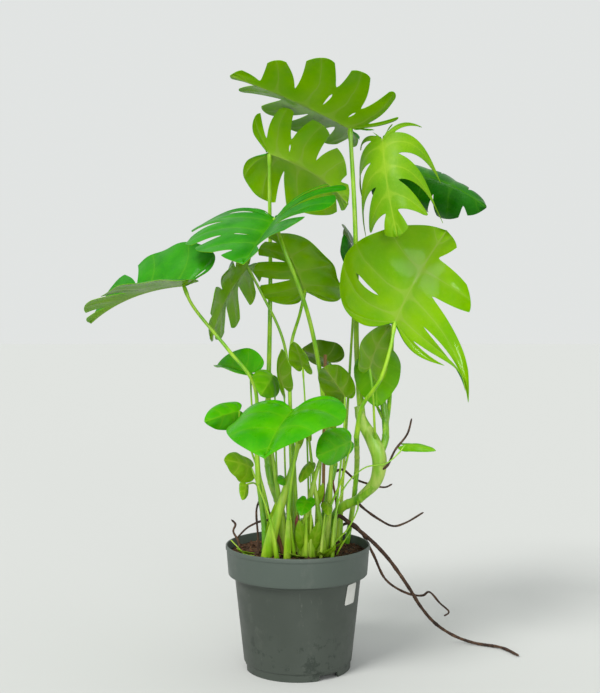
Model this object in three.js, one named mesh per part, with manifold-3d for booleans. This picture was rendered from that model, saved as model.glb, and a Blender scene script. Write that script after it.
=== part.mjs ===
// Potted monstera plant: a split-leaf plant with aerial roots in a grey nursery pot.
// Millimetres, +Z up. The origin is the middle of the pot's foot, on the surface it stands on.
// The plant is seen with +X to the right and +Y away from the viewer.

import * as THREE from 'three';
import { mergeVertices } from 'three/addons/utils/BufferGeometryUtils.js';
import Module from 'manifold-3d';

const wasm = await Module();
wasm.setup();

// ---------------------------------------------------------------- materials

function matte(color, roughness) {
  return new THREE.MeshStandardMaterial({ color, roughness, metalness: 0 });
}

const LEAF_GREEN = matte(0x3f9a1c, 0.4);
const LEAF_LIME = matte(0x7fb534, 0.45);
const STEM_GREEN = matte(0x6aa83a, 0.5);
const ROOT_BROWN = matte(0x5c4438, 0.8);
const BAMBOO = matte(0xb98a5a, 0.7);
const PEAT = matte(0x4a3428, 0.95);
const POT_GREY = matte(0x5d6662, 0.55);
const LABEL_WHITE = matte(0xf2f2ee, 0.6);

// ------------------------------------------------------------ closed solids

const GAP = 0.3;
// Features smaller than this, left where a stalk meets its blade, are smoothed away.
const SMALLEST_FEATURE = 0.05;

function solidFrom(geometry) {
  const bare = geometry.clone();
  bare.deleteAttribute('normal');
  bare.deleteAttribute('uv');
  const merged = mergeVertices(bare, 1e-4);
  return new wasm.Manifold(new wasm.Mesh({
    numProp: 3,
    vertProperties: new Float32Array(merged.attributes.position.array),
    triVerts: new Uint32Array(merged.index.array),
  }));
}

function geometryFrom(solid) {
  const { vertProperties, triVerts } = solid.getMesh();
  return indexedGeometry(vertProperties, triVerts);
}

function indexedGeometry(positions, indices) {
  const geometry = new THREE.BufferGeometry();
  geometry.setAttribute('position', new THREE.BufferAttribute(new Float32Array(positions), 3));
  geometry.setIndex(new THREE.BufferAttribute(new Uint32Array(indices), 1));
  geometry.computeVertexNormals();
  return geometry;
}

// A closed tube along a smooth line through the points, thinning from one radius to the other.
function taperedTube(points, [startRadius, endRadius], { sides = 6, steps = 8 }) {
  const line = points.map((point) => new THREE.Vector3(...point));
  const curve = new THREE.CatmullRomCurve3(line, false, 'centripetal');
  const frames = curve.computeFrenetFrames(steps, false);
  const positions = [];
  for (let ring = 0; ring <= steps; ring += 1) {
    const centre = curve.getPointAt(ring / steps);
    const radius = THREE.MathUtils.lerp(startRadius, endRadius, ring / steps);
    for (let side = 0; side < sides; side += 1) {
      const angle = (2 * Math.PI * side) / sides;
      const rim = centre.clone()
        .addScaledVector(frames.normals[ring], radius * Math.cos(angle))
        .addScaledVector(frames.binormals[ring], radius * Math.sin(angle));
      positions.push(...rim);
    }
  }
  return indexedGeometry(positions, tubeTriangles(sides, steps));
}

function tubeTriangles(sides, steps) {
  const triangles = [];
  for (let ring = 0; ring < steps; ring += 1) {
    for (let side = 0; side < sides; side += 1) {
      const a = ring * sides + side;
      const b = ring * sides + ((side + 1) % sides);
      triangles.push(a, b, b + sides, a, b + sides, a + sides);
    }
  }
  const last = steps * sides;
  for (let side = 1; side < sides - 1; side += 1) {
    triangles.push(0, side + 1, side);
    triangles.push(last, last + side, last + side + 1);
  }
  return triangles;
}

// ------------------------------------------------------------- leaf blades

const BLADE_THICKNESS = 1.2;

// One half of a heart-shaped blade, from the notch at the petiole round to the tip:
// [across, along] as fractions of the half width and of the petiole-to-tip length.
const HEART_HALF = new THREE.SplineCurve([
  [0.03, -0.03], [0.30, -0.20], [0.66, -0.20], [0.94, -0.02], [1.00, 0.24],
  [0.88, 0.50], [0.60, 0.75], [0.25, 0.93], [0.00, 1.00],
].map(([across, along]) => new THREE.Vector2(across, along)));

// Where the side vein that ends at this place on the outline leaves the midrib.
const LAST_BASAL_VEIN = 0.34;
const VEIN_CROWDING = 1.15;
function veinStart(place) {
  const beyond = Math.max((place - LAST_BASAL_VEIN) / (1 - LAST_BASAL_VEIN), 0);
  return beyond ** VEIN_CROWDING;
}

// The kinds of cut between two fingers, as fractions of the way out from the midrib and of the
// half outline's length. s: slit, d: deep slit, w: wide deep slit, x: widest slit, h: hole,
// b: hole inside and slit outside, p: small hole inside and wide slit outside.
// Any other letter, such as a full stop, means no cut.
const CUTS = {
  s: { slitFrom: 0.55, slitWidth: 0.045 },
  d: { slitFrom: 0.3, slitWidth: 0.06 },
  w: { slitFrom: 0.3, slitWidth: 0.11 },
  x: { slitFrom: 0.25, slitWidth: 0.16 },
  h: { holeFrom: 0.3, holeTo: 0.7, holeWidth: 0.04 },
  b: { holeFrom: 0.15, holeTo: 0.4, holeWidth: 0.03, slitFrom: 0.55, slitWidth: 0.06 },
  p: { holeFrom: 0.15, holeTo: 0.3, holeWidth: 0.03, slitFrom: 0.4, slitWidth: 0.09 },
};
const SLIT_FLARE = 0.6;

// How wide a cut is open at a fraction of the way out from the midrib.
function cutWidth(cut, out) {
  if (!cut) {
    return 0;
  }
  if (out > cut.slitFrom) {
    return cut.slitWidth * ((out - cut.slitFrom) / (1 - cut.slitFrom)) ** SLIT_FLARE;
  }
  return out > cut.holeFrom && out < cut.holeTo ? cut.holeWidth : 0;
}

// The veins of one half: three to a finger (its two edges and its middle).
function fingerVeins(cuts, fingers) {
  const veins = [];
  for (let finger = 0; finger < fingers; finger += 1) {
    const from = finger / fingers;
    const to = (finger + 1) / fingers;
    veins.push([
      { place: from, cut: CUTS[cuts[finger - 1]], towards: 1 },
      { place: (from + to) / 2, towards: 0 },
      { place: to, cut: CUTS[cuts[finger]], towards: -1 },
    ]);
  }
  return veins;
}

// Flat pattern point on a vein: out = 0 on the midrib, 1 on the margin.
const EDGE_ROUNDING = 0.06;
const VEIN_ARCH = 0.05;
function patternPoint(vein, out) {
  const shift = (vein.towards * cutWidth(vein.cut, out)) / 2;
  const end = HEART_HALF.getPoint(THREE.MathUtils.clamp(vein.place + shift, 0, 1));
  const start = veinStart(vein.place);
  const reach = vein.cut?.slitFrom ? out * (1 - EDGE_ROUNDING * out) : out;
  return [
    end.x * reach,
    start + (end.y - start) * reach - VEIN_ARCH * Math.sin(Math.PI * reach) * end.x,
  ];
}

// The whole flat pattern: shared points and triangles, both halves, upper side up.
function bladePattern({ cuts, rows }) {
  const fingers = Math.max(cuts[0].length, cuts[1].length) + 1;
  const points = [];
  const triangles = [];
  const known = new Map();
  const pointIndex = (across, along, half) => {
    const key = `${across.toFixed(5)},${along.toFixed(5)}`;
    if (!known.has(key)) {
      known.set(key, points.length);
      points.push({ across, along, half });
    }
    return known.get(key);
  };
  const addTriangle = (a, b, c) => {
    if (a !== b && b !== c && c !== a) {
      triangles.push([a, b, c]);
    }
  };
  [-1, 1].forEach((side, half) => {
    fingerVeins(cuts[half], fingers).forEach((veins) => {
      for (let column = 0; column < 2; column += 1) {
        for (let row = 0; row < rows; row += 1) {
          const corner = (vein, step) => {
            const [across, along] = patternPoint(veins[vein], step / rows);
            return pointIndex(side * across, along, half);
          };
          const a = corner(column, row);
          const b = corner(column, row + 1);
          const c = corner(column + 1, row + 1);
          const d = corner(column + 1, row);
          if (side > 0) {
            addTriangle(a, b, c);
            addTriangle(a, c, d);
          } else {
            addTriangle(a, c, b);
            addTriangle(a, d, c);
          }
        }
      }
    });
  });
  return { points, triangles };
}

// Bends the flat pattern into the leaf's own shape and place. Angles are in degrees:
// bend curls the midrib down towards the tip, fold lifts each half, droop curls it down outwards,
// and hang lets the margin sink under its own weight, in millimetres.
const DOWN = new THREE.Vector3(0, 0, -1);
const STRAIGHTEST = 1e-3;
const RIPPLE = { height: 3, alongMidrib: 9, outwards: 4 };
const HANG_GROWTH = { peak: 0.35, slope: 1.2 };
function bladeSurface(leaf, pattern) {
  const { at, tip, across, width, bend, fold, droop, hang = [0, 0] } = leaf;
  const radians = THREE.MathUtils.degToRad;
  const chord = new THREE.Vector3(...tip).sub(new THREE.Vector3(...at));
  const bendAngle = Math.max(radians(bend), STRAIGHTEST);
  const length = chord.length() * (bendAngle / 2) / Math.sin(bendAngle / 2);
  const forward = chord.clone().normalize();
  const right = new THREE.Vector3(...across);
  right.addScaledVector(forward, -right.dot(forward)).normalize();
  const up = new THREE.Vector3().crossVectors(right, forward);
  const heading = forward.clone().applyAxisAngle(right, bendAngle / 2);
  const rise = up.clone().applyAxisAngle(right, bendAngle / 2);
  return pattern.points.map(({ across: u, along: v, half }) => {
    const turned = Math.max(v, 0) * bendAngle;
    const midrib = new THREE.Vector3(...at)
      .addScaledVector(heading, (length * Math.sin(turned)) / bendAngle + Math.min(v, 0) * length)
      .addScaledVector(rise, (-length * (1 - Math.cos(turned))) / bendAngle);
    const normal = rise.clone().applyAxisAngle(right, -turned);
    const lift = radians(fold[half]);
    const curl = Math.max(radians(droop[half]), STRAIGHTEST);
    const out = Math.abs(u);
    const sideways = (Math.sin(lift) - Math.sin(lift - curl * out)) / curl;
    const upwards = (Math.cos(lift - curl * out) - Math.cos(lift)) / curl;
    const phase = RIPPLE.alongMidrib * v + RIPPLE.outwards * u + width;
    const ripple = RIPPLE.height * out * Math.sin(phase);
    const sag = Math.max(1 - HANG_GROWTH.slope * Math.abs(v - HANG_GROWTH.peak), 0);
    return midrib
      .addScaledVector(right, Math.sign(u) * sideways * width / 2)
      .addScaledVector(normal, upwards * width / 2 + ripple)
      .addScaledVector(DOWN, hang[half] * out ** 2 * sag);
  });
}

// A closed sheet: the surface offset to both sides, joined round every open edge.
function thickenedSheet(surface, triangles, thickness) {
  const normals = surface.map(() => new THREE.Vector3());
  triangles.forEach((corners) => {
    const [a, b, c] = corners.map((i) => surface[i]);
    const normal = new THREE.Vector3().crossVectors(b.clone().sub(a), c.clone().sub(a));
    corners.forEach((i) => normals[i].add(normal));
  });
  const count = surface.length;
  const positions = [];
  [thickness / 2, -thickness / 2].forEach((offset) => {
    surface.forEach((point, i) => {
      positions.push(...point.clone().addScaledVector(normals[i].clone().normalize(), offset));
    });
  });
  const indices = [];
  const openEdges = new Map();
  triangles.forEach(([a, b, c]) => {
    indices.push(a, b, c, a + count, c + count, b + count);
    [[a, b], [b, c], [c, a]].forEach(([from, to]) => {
      if (!openEdges.delete(`${to},${from}`)) {
        openEdges.set(`${from},${to}`, [from, to]);
      }
    });
  });
  openEdges.forEach(([from, to]) => {
    indices.push(from, from + count, to + count, from, to + count, to);
  });
  return indexedGeometry(positions, indices);
}

// ------------------------------------------------------------------- the pot

const POT = {
  height: 230,
  rimRadius: 135,
  rimBead: { depth: 8, proud: 1.5, thickness: 3.2, rounding: 1 },
  bandHeight: 54,
  bandFootRadius: 130,
  shoulder: { drop: 3, width: 2 },
  bodyTopRadius: 118,
  bodyFootRadius: 101,
  footHeight: 15,
  footInset: 2.5,
  footRing: 5,
  wall: 2.2,
  floorHeight: 8,
  padRadius: 24,
  segments: 36,
};
const NOTCH = { width: 40, height: 11, depth: 30, angles: [-55, 65, 185] };
const DRAIN = { radius: 6, circle: 62, count: 6, sides: 10, depth: 30 };
const BAND_FOOT = POT.height - POT.bandHeight;
const BODY_TOP = BAND_FOOT - POT.shoulder.drop - POT.shoulder.width;

function turnedSolid(profile, segments) {
  const outline = profile.map(([radius, height]) => new THREE.Vector2(radius, height));
  return new THREE.LatheGeometry(outline, segments).rotateX(Math.PI / 2);
}

function potSolid() {
  const { rimBead, wall } = POT;
  const foot = POT.bodyFootRadius - POT.footInset;
  const floorTop = POT.floorHeight + wall;
  const shoulder = BAND_FOOT - POT.shoulder.drop;
  const shell = turnedSolid([
    [0, 0], [POT.padRadius, 0], [POT.padRadius, POT.floorHeight],
    [foot - POT.footRing, POT.floorHeight], [foot - POT.footRing + 1, 0], [foot, 0],
    [foot + 0.5, POT.footHeight - 1], [POT.bodyFootRadius, POT.footHeight],
    [POT.bodyTopRadius, BODY_TOP], [POT.bodyTopRadius + POT.shoulder.width, shoulder],
    [POT.bandFootRadius, BAND_FOOT], [POT.rimRadius - rimBead.proud, POT.height - rimBead.depth - 1],
    [POT.rimRadius, POT.height - rimBead.depth + 1], [POT.rimRadius, POT.height - rimBead.rounding],
    [POT.rimRadius - rimBead.rounding, POT.height], [POT.rimRadius - rimBead.thickness, POT.height],
    [POT.bandFootRadius - wall, BAND_FOOT + 1], [POT.bodyTopRadius - wall, shoulder],
    [POT.bodyFootRadius - wall, floorTop], [0, floorTop],
  ], POT.segments);
  return drained(notched(solidFrom(shell), foot));
}

// Openings through the foot ring, for the water to run out under the pot.
function notched(solid, footRadius) {
  return NOTCH.angles.reduce((rest, angle) => {
    const notch = new THREE.BoxGeometry(NOTCH.depth, NOTCH.width, 2 * NOTCH.height);
    notch.translate(footRadius + POT.footRing, 0, 0).rotateZ(THREE.MathUtils.degToRad(angle));
    return rest.subtract(solidFrom(notch));
  }, solid);
}

function drained(solid) {
  let rest = solid;
  for (let hole = 0; hole < DRAIN.count; hole += 1) {
    const drain = new THREE.CylinderGeometry(DRAIN.radius, DRAIN.radius, DRAIN.depth, DRAIN.sides);
    const angle = ((hole + 0.5) * 2 * Math.PI) / DRAIN.count;
    drain.rotateX(Math.PI / 2);
    drain.translate(DRAIN.circle * Math.cos(angle), DRAIN.circle * Math.sin(angle), POT.floorHeight);
    rest = rest.subtract(solidFrom(drain));
  }
  return rest;
}

// The bare white label: a thin sheet that follows the tapering wall just under the band.
const LABEL = { width: 30, top: 170, height: 37, thickness: 0.4, angle: -34, columns: 4, tilt: 2 };

function potRadius(height) {
  const up = (height - POT.footHeight) / (BODY_TOP - POT.footHeight);
  return THREE.MathUtils.lerp(POT.bodyFootRadius, POT.bodyTopRadius, up);
}

function labelGeometry() {
  const surface = [];
  const triangles = [];
  for (let column = 0; column <= LABEL.columns; column += 1) {
    [0, 1].forEach((down) => {
      const height = LABEL.top - down * LABEL.height;
      const radius = potRadius(height) + GAP + LABEL.thickness;
      const middle = LABEL.angle + LABEL.tilt * (0.5 - down);
      const turn = ((column / LABEL.columns - 0.5) * LABEL.width) / radius;
      const angle = THREE.MathUtils.degToRad(middle) + turn;
      surface.push(new THREE.Vector3(radius * Math.cos(angle), radius * Math.sin(angle), height));
    });
    if (column < LABEL.columns) {
      const a = 2 * column;
      triangles.push([a, a + 1, a + 3], [a, a + 3, a + 2]);
    }
  }
  return thickenedSheet(surface, triangles, LABEL.thickness);
}

// ---------------------------------------------------------------------- soil

// The soil fills the pot and lies a little higher round the stems than along the wall.
const SOIL = { top: 214, crown: 3, segments: 22, clearance: 0.2, bandGap: 1.6, flatBelow: 0.5 };
const CROWN_RADII = { edge: 110, middle: 80, top: 50, heart: 22 };
const BUMPS = { height: 2.5, broad: [13, 11], fine: [7, 9], fineShare: 0.6 };

function soilBump(x, y) {
  const broad = Math.sin(x / BUMPS.broad[0] + 1) * Math.cos(y / BUMPS.broad[1]);
  const fine = Math.sin(x / BUMPS.fine[0] + y / BUMPS.fine[1]);
  return BUMPS.height * (broad + BUMPS.fineShare * fine);
}

function soilSolid() {
  const inner = POT.wall + GAP;
  const floor = POT.floorHeight + inner;
  const lathe = turnedSolid([
    [0, floor], [POT.bodyFootRadius - inner - SOIL.clearance, floor],
    [POT.bodyTopRadius - inner - SOIL.clearance, BAND_FOOT - POT.shoulder.drop],
    [POT.bandFootRadius - inner - SOIL.clearance, BAND_FOOT + 1 + 2 * SOIL.clearance],
    [POT.bandFootRadius - inner + SOIL.bandGap, SOIL.top],
    [CROWN_RADII.edge, SOIL.top + SOIL.crown / 3], [CROWN_RADII.middle, SOIL.top + (2 * SOIL.crown) / 3],
    [CROWN_RADII.top, SOIL.top + SOIL.crown], [CROWN_RADII.heart, SOIL.top + SOIL.crown],
    [0, SOIL.top + SOIL.crown],
  ], SOIL.segments);
  const position = lathe.attributes.position;
  for (let i = 0; i < position.count; i += 1) {
    if (position.getZ(i) > SOIL.top + SOIL.flatBelow) {
      position.setZ(i, position.getZ(i) + soilBump(position.getX(i), position.getY(i)));
    }
  }
  return solidFrom(lathe);
}

// --------------------------------------------------------------------- stems

// Each tube runs through its points; the ones that start under the soil are rooted in it.
const ROOTED = 190;
const STEMS = {
  stem_left: {
    points: [[-20, 22, ROOTED], [-27, 20, 235], [-34, 15, 296], [-51, 15, 351], [-58, 22, 405]],
    radii: [9, 8], sides: 8, steps: 9,
  },
  stem_left_sheath: {
    points: [[-60, -34, ROOTED], [-61, -36, 260], [-72, -42, 350]],
    radii: [7, 4.5], sides: 8, steps: 6,
  },
  stem_trunk: {
    points: [
      [60, 52, ROOTED], [63, 48, 250], [80, 38, 288], [118, 22, 312],
      [146, 8, 345], [152, 0, 388], [140, 2, 424], [122, 12, 455],
    ],
    radii: [9.5, 8], sides: 8, steps: 14,
  },
  stem_trunk_branch: {
    points: [[153, 0, 396], [164, 6, 425], [165, 18, 455], [161, 26, 495]],
    radii: [7, 6], sides: 8, steps: 6, on: ['stem_trunk'],
  },
  stem_right: {
    points: [[90, 66, ROOTED], [106, 58, 290], [112, 30, 370], [109, -14, 432]],
    radii: [5, 5], sides: 8, steps: 8,
  },
  stem_middle: {
    points: [[40, 14, ROOTED], [52, 20, 290], [70, 24, 375]],
    radii: [7, 6], sides: 8, steps: 6,
  },
  stem_crown: {
    points: [[12, -28, ROOTED], [12, -30, 250], [13, -31, 282]],
    radii: [12, 9], sides: 10, steps: 4,
  },
};

const DRY_STALKS = {
  old_petiole: {
    points: [[-20, -36, ROOTED], [-34, -42, 245], [-47, -52, 280], [-56, -54, 304]], radii: [4, 2.5],
  },
  dry_stalk: { points: [[57, -8, ROOTED], [72, -9, 290], [65, -6, 350]], radii: [2.6, 1.8] },
  tendril: {
    points: [[112, 20, 310], [112, -4, 296], [92, -26, 262], [66, -42, 236], [62, -46, 205]],
    radii: [1.6, 1.2], on: ['stem_trunk'],
  },
};

const STAKE = { foot: [45, 30, 60], top: [52, 30, 583], radius: 3.1, sides: 10 };

// -------------------------------------------------------------- aerial roots

const ROOTS = {
  root_long: {
    points: [
      [68, 44, 268], [80, 16, 278], [98, 8, 266], [124, 12, 245], [146, 22, 224], [172, 35, 194],
      [196, 48, 160], [219, 64, 124], [241, 84, 87], [274, 110, 46], [318, 132, 14],
      [352, 124, 4.4], [400, 96, 4], [425, 46, 3.6],
    ],
    radii: [4, 2.6], steps: 26, on: ['stem_trunk'],
  },
  root_over_rim: {
    points: [
      [66, 98, ROOTED], [84, 101, 242], [106, 94, 250], [122, 93, 236], [148, 100, 188], [174, 102, 136],
      [220, 112, 106], [248, 112, 103], [259, 108, 111], [281, 112, 88], [301, 124, 66], [292, 132, 56],
    ],
    radii: [3.2, 1.8], steps: 22,
  },
  root_right_low: {
    points: [[112, 24, 308], [121, 48, 292], [155, 60, 265], [184, 60, 251], [207, 60, 257], [243, 60, 278]],
    radii: [2.8, 1.8], steps: 11, on: ['stem_trunk'],
  },
  root_right_high: {
    points: [[66, 23, 360], [84, 34, 364], [109, 58, 343], [130, 48, 336], [166, 36, 330], [180, 32, 337]],
    radii: [2.6, 1.7], steps: 10, on: ['stem_middle'],
  },
  root_upward: {
    points: [[150, 4, 366], [165, -12, 376], [181, -12, 407], [204, -6, 436], [213, 0, 465]],
    radii: [2.6, 1.7], steps: 9, on: ['stem_trunk'],
  },
  root_left_hook: {
    points: [[-106, -10, ROOTED], [-111, -8, 235], [-121, 0, 253], [-117, 0, 266], [-125, 0, 275]],
    radii: [2.8, 1.9], steps: 8,
  },
  root_left_rim: {
    points: [[-29, 19, 262], [-60, 8, 272], [-92, 8, 260], [-110, 18, 242], [-118, 24, 232]],
    radii: [2.4, 1.6], steps: 8, on: ['stem_left'],
  },
  root_left_down: {
    points: [[-68, -39, 322], [-76, -30, 300], [-74, -24, 250], [-72, -22, ROOTED]],
    radii: [2, 2], steps: 6, on: ['stem_left_sheath'],
  },
};

// -------------------------------------------------------------------- leaves

// Each leaf grew as one piece: its stalk runs from the first point to the blade's notch at `at`.
// `across` points to the blade's right half, seen from above with the tip ahead.
// cuts: one letter for each place between two fingers, from the notch to the tip, left then right.
const LEAVES = {
  leaf_top: {
    at: [98, 20, 1008], tip: [-120, -93, 1080], across: [-0.48, 0.87, -0.08],
    width: 264, bend: 10, fold: [25, 9], droop: [5, 14], cuts: ['wwpbdw', 'wdwdww'],
    stalk: [[122, 12, 454], [118, 56, 520], [113, 60, 600], [110, 16, 740], [106, 8, 860]],
    radii: [6, 4], on: ['stem_trunk'],
  },
  leaf_upper_left: {
    at: [-55, 78, 970], tip: [94, 11, 864], across: [0.2, -0.68, 0.71],
    width: 221, bend: 53, fold: [13, 12], droop: [29, 19], cuts: ['..d.s', '.wpds'],
    stalk: [[-58, 22, 404], [-57, 60, 496], [-55, 106, 640], [-54, 112, 750], [-55, 102, 870]],
    radii: [5.5, 3.5], on: ['stem_left'],
  },
  leaf_hanging_pale: {
    at: [155, -30, 979], tip: [178, -90, 795], across: [-0.85, 0.47, -0.26],
    width: 230, bend: 24, fold: [0, 0], droop: [70, 84], hang: [110, 80], cuts: ['xxxxw', 'xxxxw'],
    pale: true,
    stalk: [[161, 26, 494], [168, 72, 600], [180, 62, 720], [172, 40, 900]], radii: [4.5, 2.8],
    on: ['stem_trunk_branch'],
  },
  leaf_glossy_right: {
    at: [186, 80, 944], tip: [365, 80, 866], across: [-0.37, -0.43, -0.83],
    width: 245, bend: 52, fold: [-21, -27], droop: [104, 117], cuts: ['.hddd', '.ddds'],
    stalk: [[164, 10, 440], [176, 60, 490], [186, 104, 620], [192, 100, 800]], radii: [4, 2.8],
    on: ['stem_trunk_branch'],
  },
  leaf_middle_left: {
    at: [-43, -30, 834], tip: [-92, -178, 742], across: [-0.88, 0.08, -0.42],
    width: 330, bend: 4, fold: [22, 32], droop: [34, 40], cuts: ['wwddw', 'bhsbs'],
    stalk: [[70, 24, 374], [52, 8, 470], [40, -16, 560], [22, -34, 647], [2, -56, 710], [-26, -64, 780]],
    radii: [5, 3.6], on: ['stem_middle'],
  },
  leaf_centre: {
    at: [14, 35, 705], tip: [-40, -25, 808], across: [-0.88, 0.47, 0.03],
    width: 215, bend: 24, fold: [11, 23], droop: [54, 44], cuts: ['.....', '..dds'],
    stalk: [[2, -6, ROOTED], [-8, -10, 400], [-14, -16, 500], [-12, -4, 602], [4, 18, 660]], radii: [4.5, 3],
  },
  leaf_hanging_left: {
    at: [-98, 76, 752], tip: [-160, -20, 612], across: [0.2, 0.93, -0.3],
    width: 206, bend: 26, fold: [10, 12], droop: [45, 32], cuts: ['dwwds', '.dwds'],
    stalk: [[-10, 44, ROOTED], [-14, 54, 400], [-26, 72, 600], [-70, 82, 700]], radii: [4, 2.6],
  },
  leaf_far_left: {
    at: [-209, -38, 712], tip: [-400, 69, 642], across: [0.28, 0.82, 0.5],
    width: 211, bend: 33, fold: [37, 27], droop: [10, 10], cuts: ['...dd', 'h..dd'],
    stalk: [[-72, -42, 349], [-76, -36, 430], [-80, -40, 530], [-128, -46, 596], [-193, -44, 677]],
    radii: [4.2, 3], on: ['stem_left_sheath'],
  },
  leaf_big_right: {
    at: [176, -60, 645], tip: [272, -40, 812], across: [-0.86, -0.12, 0.5],
    width: 315, bend: 66, fold: [6, 12], droop: [112, 62], hang: [200, 0], cuts: ['.wwww', '..h..'],
    stalk: [[109, -13, 431], [118, -42, 490], [149, -78, 543], [168, -78, 606]], radii: [4.2, 3],
    on: ['stem_right'],
  },
  leaf_behind_right: {
    at: [112, 60, 752], tip: [96, 165, 807], across: [0.73, 0.4, -0.55],
    width: 135, bend: 66, fold: [21, 27], droop: [5, 5], cuts: ['.dd', '.dd'], rows: 4,
    stalk: [[78, 84, ROOTED], [92, 88, 400], [104, 84, 600], [110, 70, 710]], radii: [3.4, 2.4],
  },
  leaf_olive_right: {
    at: [131, -44, 561], tip: [172, -14, 640], across: [-0.65, -0.66, 0.38],
    width: 89, bend: 37, fold: [5, 5], droop: [17, 19],
    stalk: [[146, 6, 416], [142, -24, 450], [138, -46, 500], [134, -50, 540]], radii: [2.8, 2],
    on: ['stem_trunk'],
  },
  leaf_lower_right: {
    at: [148, 28, 584], tip: [146, -25, 488], across: [-0.98, 0.15, -0.1],
    width: 104, bend: 32, fold: [-20, -20], droop: [23, 20],
    stalk: [[161, 20, 462], [146, 42, 500], [143, 46, 550], [145, 38, 576]], radii: [2.6, 1.9],
    on: ['stem_trunk_branch'],
  },
  leaf_front_heart: {
    at: [-10, -130, 489], tip: [-54, -246, 420], across: [-0.93, 0.28, -0.24],
    width: 226, bend: 26, fold: [24, 32], droop: [66, 60], rows: 4,
    stalk: [[-20, -62, ROOTED], [-14, -90, 340], [-2, -108, 430], [-4, -124, 474]], radii: [3.4, 2.4],
  },
  leaf_front_right: {
    at: [95, -86, 432], tip: [32, -150, 412], across: [-0.35, 0.06, 0.94],
    width: 89, bend: 34, fold: [-22, -17], droop: [57, 46],
    stalk: [[30, -34, ROOTED], [58, -40, 300], [80, -60, 360], [91, -79, 408]], radii: [2.7, 2],
  },
  leaf_left_point: {
    at: [-106, -60, 484], tip: [-166, -100, 468], across: [-0.36, 0.1, 0.93],
    width: 70, bend: 27, fold: [-29, -29], droop: [27, 34],
    stalk: [[-36, 0, ROOTED], [-62, -14, 330], [-90, -34, 420], [-106, -56, 468]], radii: [2.4, 1.7],
  },
  leaf_left_upper: {
    at: [-88, 12, 549], tip: [-158, 77, 558], across: [0.62, 0.56, 0.55],
    width: 84, bend: 22, fold: [41, 41], droop: [7, 3],
    stalk: [[-44, 40, ROOTED], [-78, 24, 400], [-88, 14, 510]], radii: [2.6, 1.8],
  },
  leaf_left_small: {
    at: [-46, -45, 548], tip: [-66, -98, 514], across: [-0.72, -0.08, 0.69],
    width: 68, bend: 32, fold: [-16, -18], droop: [27, 34],
    stalk: [[-30, -14, ROOTED], [-40, -28, 400], [-42, -40, 510]], radii: [2.2, 1.6],
  },
  leaf_middle_point: {
    at: [-27, -60, 529], tip: [-28, -109, 597], across: [-0.51, -0.69, -0.51],
    width: 49, bend: 43, fold: [-7, -8], droop: [37, 41],
    stalk: [[-14, -20, ROOTED], [-24, -34, 400], [-24, -52, 500]], radii: [2.2, 1.6],
  },
  leaf_middle_small: {
    at: [9, -70, 564], tip: [-6, -112, 610], across: [-0.86, 0.47, 0.21],
    width: 50, bend: 10, fold: [6, 16], droop: [45, 45],
    stalk: [[22, -10, ROOTED], [18, -34, 400], [12, -60, 520]], radii: [2.2, 1.5],
  },
  leaf_round_right: {
    at: [87, -20, 507], tip: [48, -75, 563], across: [-0.83, 0.03, -0.55],
    width: 75, bend: 16, fold: [39, 45], droop: [5, 5],
    stalk: [[60, -28, ROOTED], [76, -30, 350], [86, -26, 460]], radii: [2.6, 1.8],
  },
  leaf_middle_dark: {
    at: [62, 70, 567], tip: [5, 40, 590], across: [-0.6, 0.6, -0.5],
    width: 80, bend: 40, fold: [30, 30], droop: [20, 20],
    stalk: [[34, 44, ROOTED], [46, 60, 400], [58, 70, 530]], radii: [2.6, 1.8],
  },
  leaf_left_low: {
    at: [-83, -90, 385], tip: [-129, -133, 404], across: [-0.11, 0.49, 0.86],
    width: 63, bend: 32, fold: [-8, -6], droop: [48, 43], pale: true,
    stalk: [[-34, -66, ROOTED], [-50, -78, 290], [-74, -88, 360]], radii: [2.2, 1.5],
  },
  leaf_left_lowest: {
    at: [-93, -72, 352], tip: [-99, -100, 328], across: [-0.83, -0.23, 0.51],
    width: 26, bend: 41, fold: [-11, -1], droop: [56, 52], pale: true,
    stalk: [[-71, -41, 342], [-80, -56, 352]], radii: [1.5, 1.2], on: ['stem_left_sheath'],
  },
  leaf_right_narrow: {
    at: [199, -20, 417], tip: [252, -50, 410], across: [-0.58, -0.56, -0.59],
    width: 26, bend: 31, fold: [-4, -7], droop: [58, 47],
    stalk: [
      [62, -58, ROOTED], [68, -56, 290], [86, -50, 344], [124, -34, 377], [163, -28, 384], [186, -24, 402],
    ],
    radii: [1.8, 1.2], steps: 12,
  },
  leaf_centre_low: {
    at: [16, -95, 328], tip: [6, -117, 303], across: [-0.96, 0.22, 0.18],
    width: 33, bend: 31, fold: [14, 3], droop: [20, 24],
    stalk: [[14, -62, ROOTED], [15, -76, 270]], radii: [1.8, 1.3],
  },
  leaf_tiny_left: {
    at: [-24, -62, 361], tip: [-36, -84, 357], across: [-0.5, 0.06, 0.86],
    width: 24, bend: 38, fold: [-6, -14], droop: [41, 33],
    stalk: [[-4, -40, ROOTED], [-16, -54, 310]], radii: [1.6, 1.2],
  },
  leaf_lance: {
    at: [22, -56, 388], tip: [4, -100, 359], across: [-0.92, 0.38, 0.12],
    width: 28, bend: 36, fold: [-20, -9], droop: [60, 56], pale: true,
    stalk: [[22, -62, ROOTED], [24, -58, 320]], radii: [1.6, 1.2],
  },
  leaf_yellowing: {
    at: [52, -64, 317], tip: [54, -94, 299], across: [-0.97, -0.18, 0.15],
    width: 24, bend: 49, fold: [-3, -14], droop: [43, 39], pale: true,
    stalk: [[40, -64, ROOTED], [46, -62, 270]], radii: [1.5, 1.2],
  },
};

const CUT_LEAF = { rows: 4 };
const SMALL_LEAF = { rows: 2, cuts: ['.', '.'] };
const THICK_STALK = 3;

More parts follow.
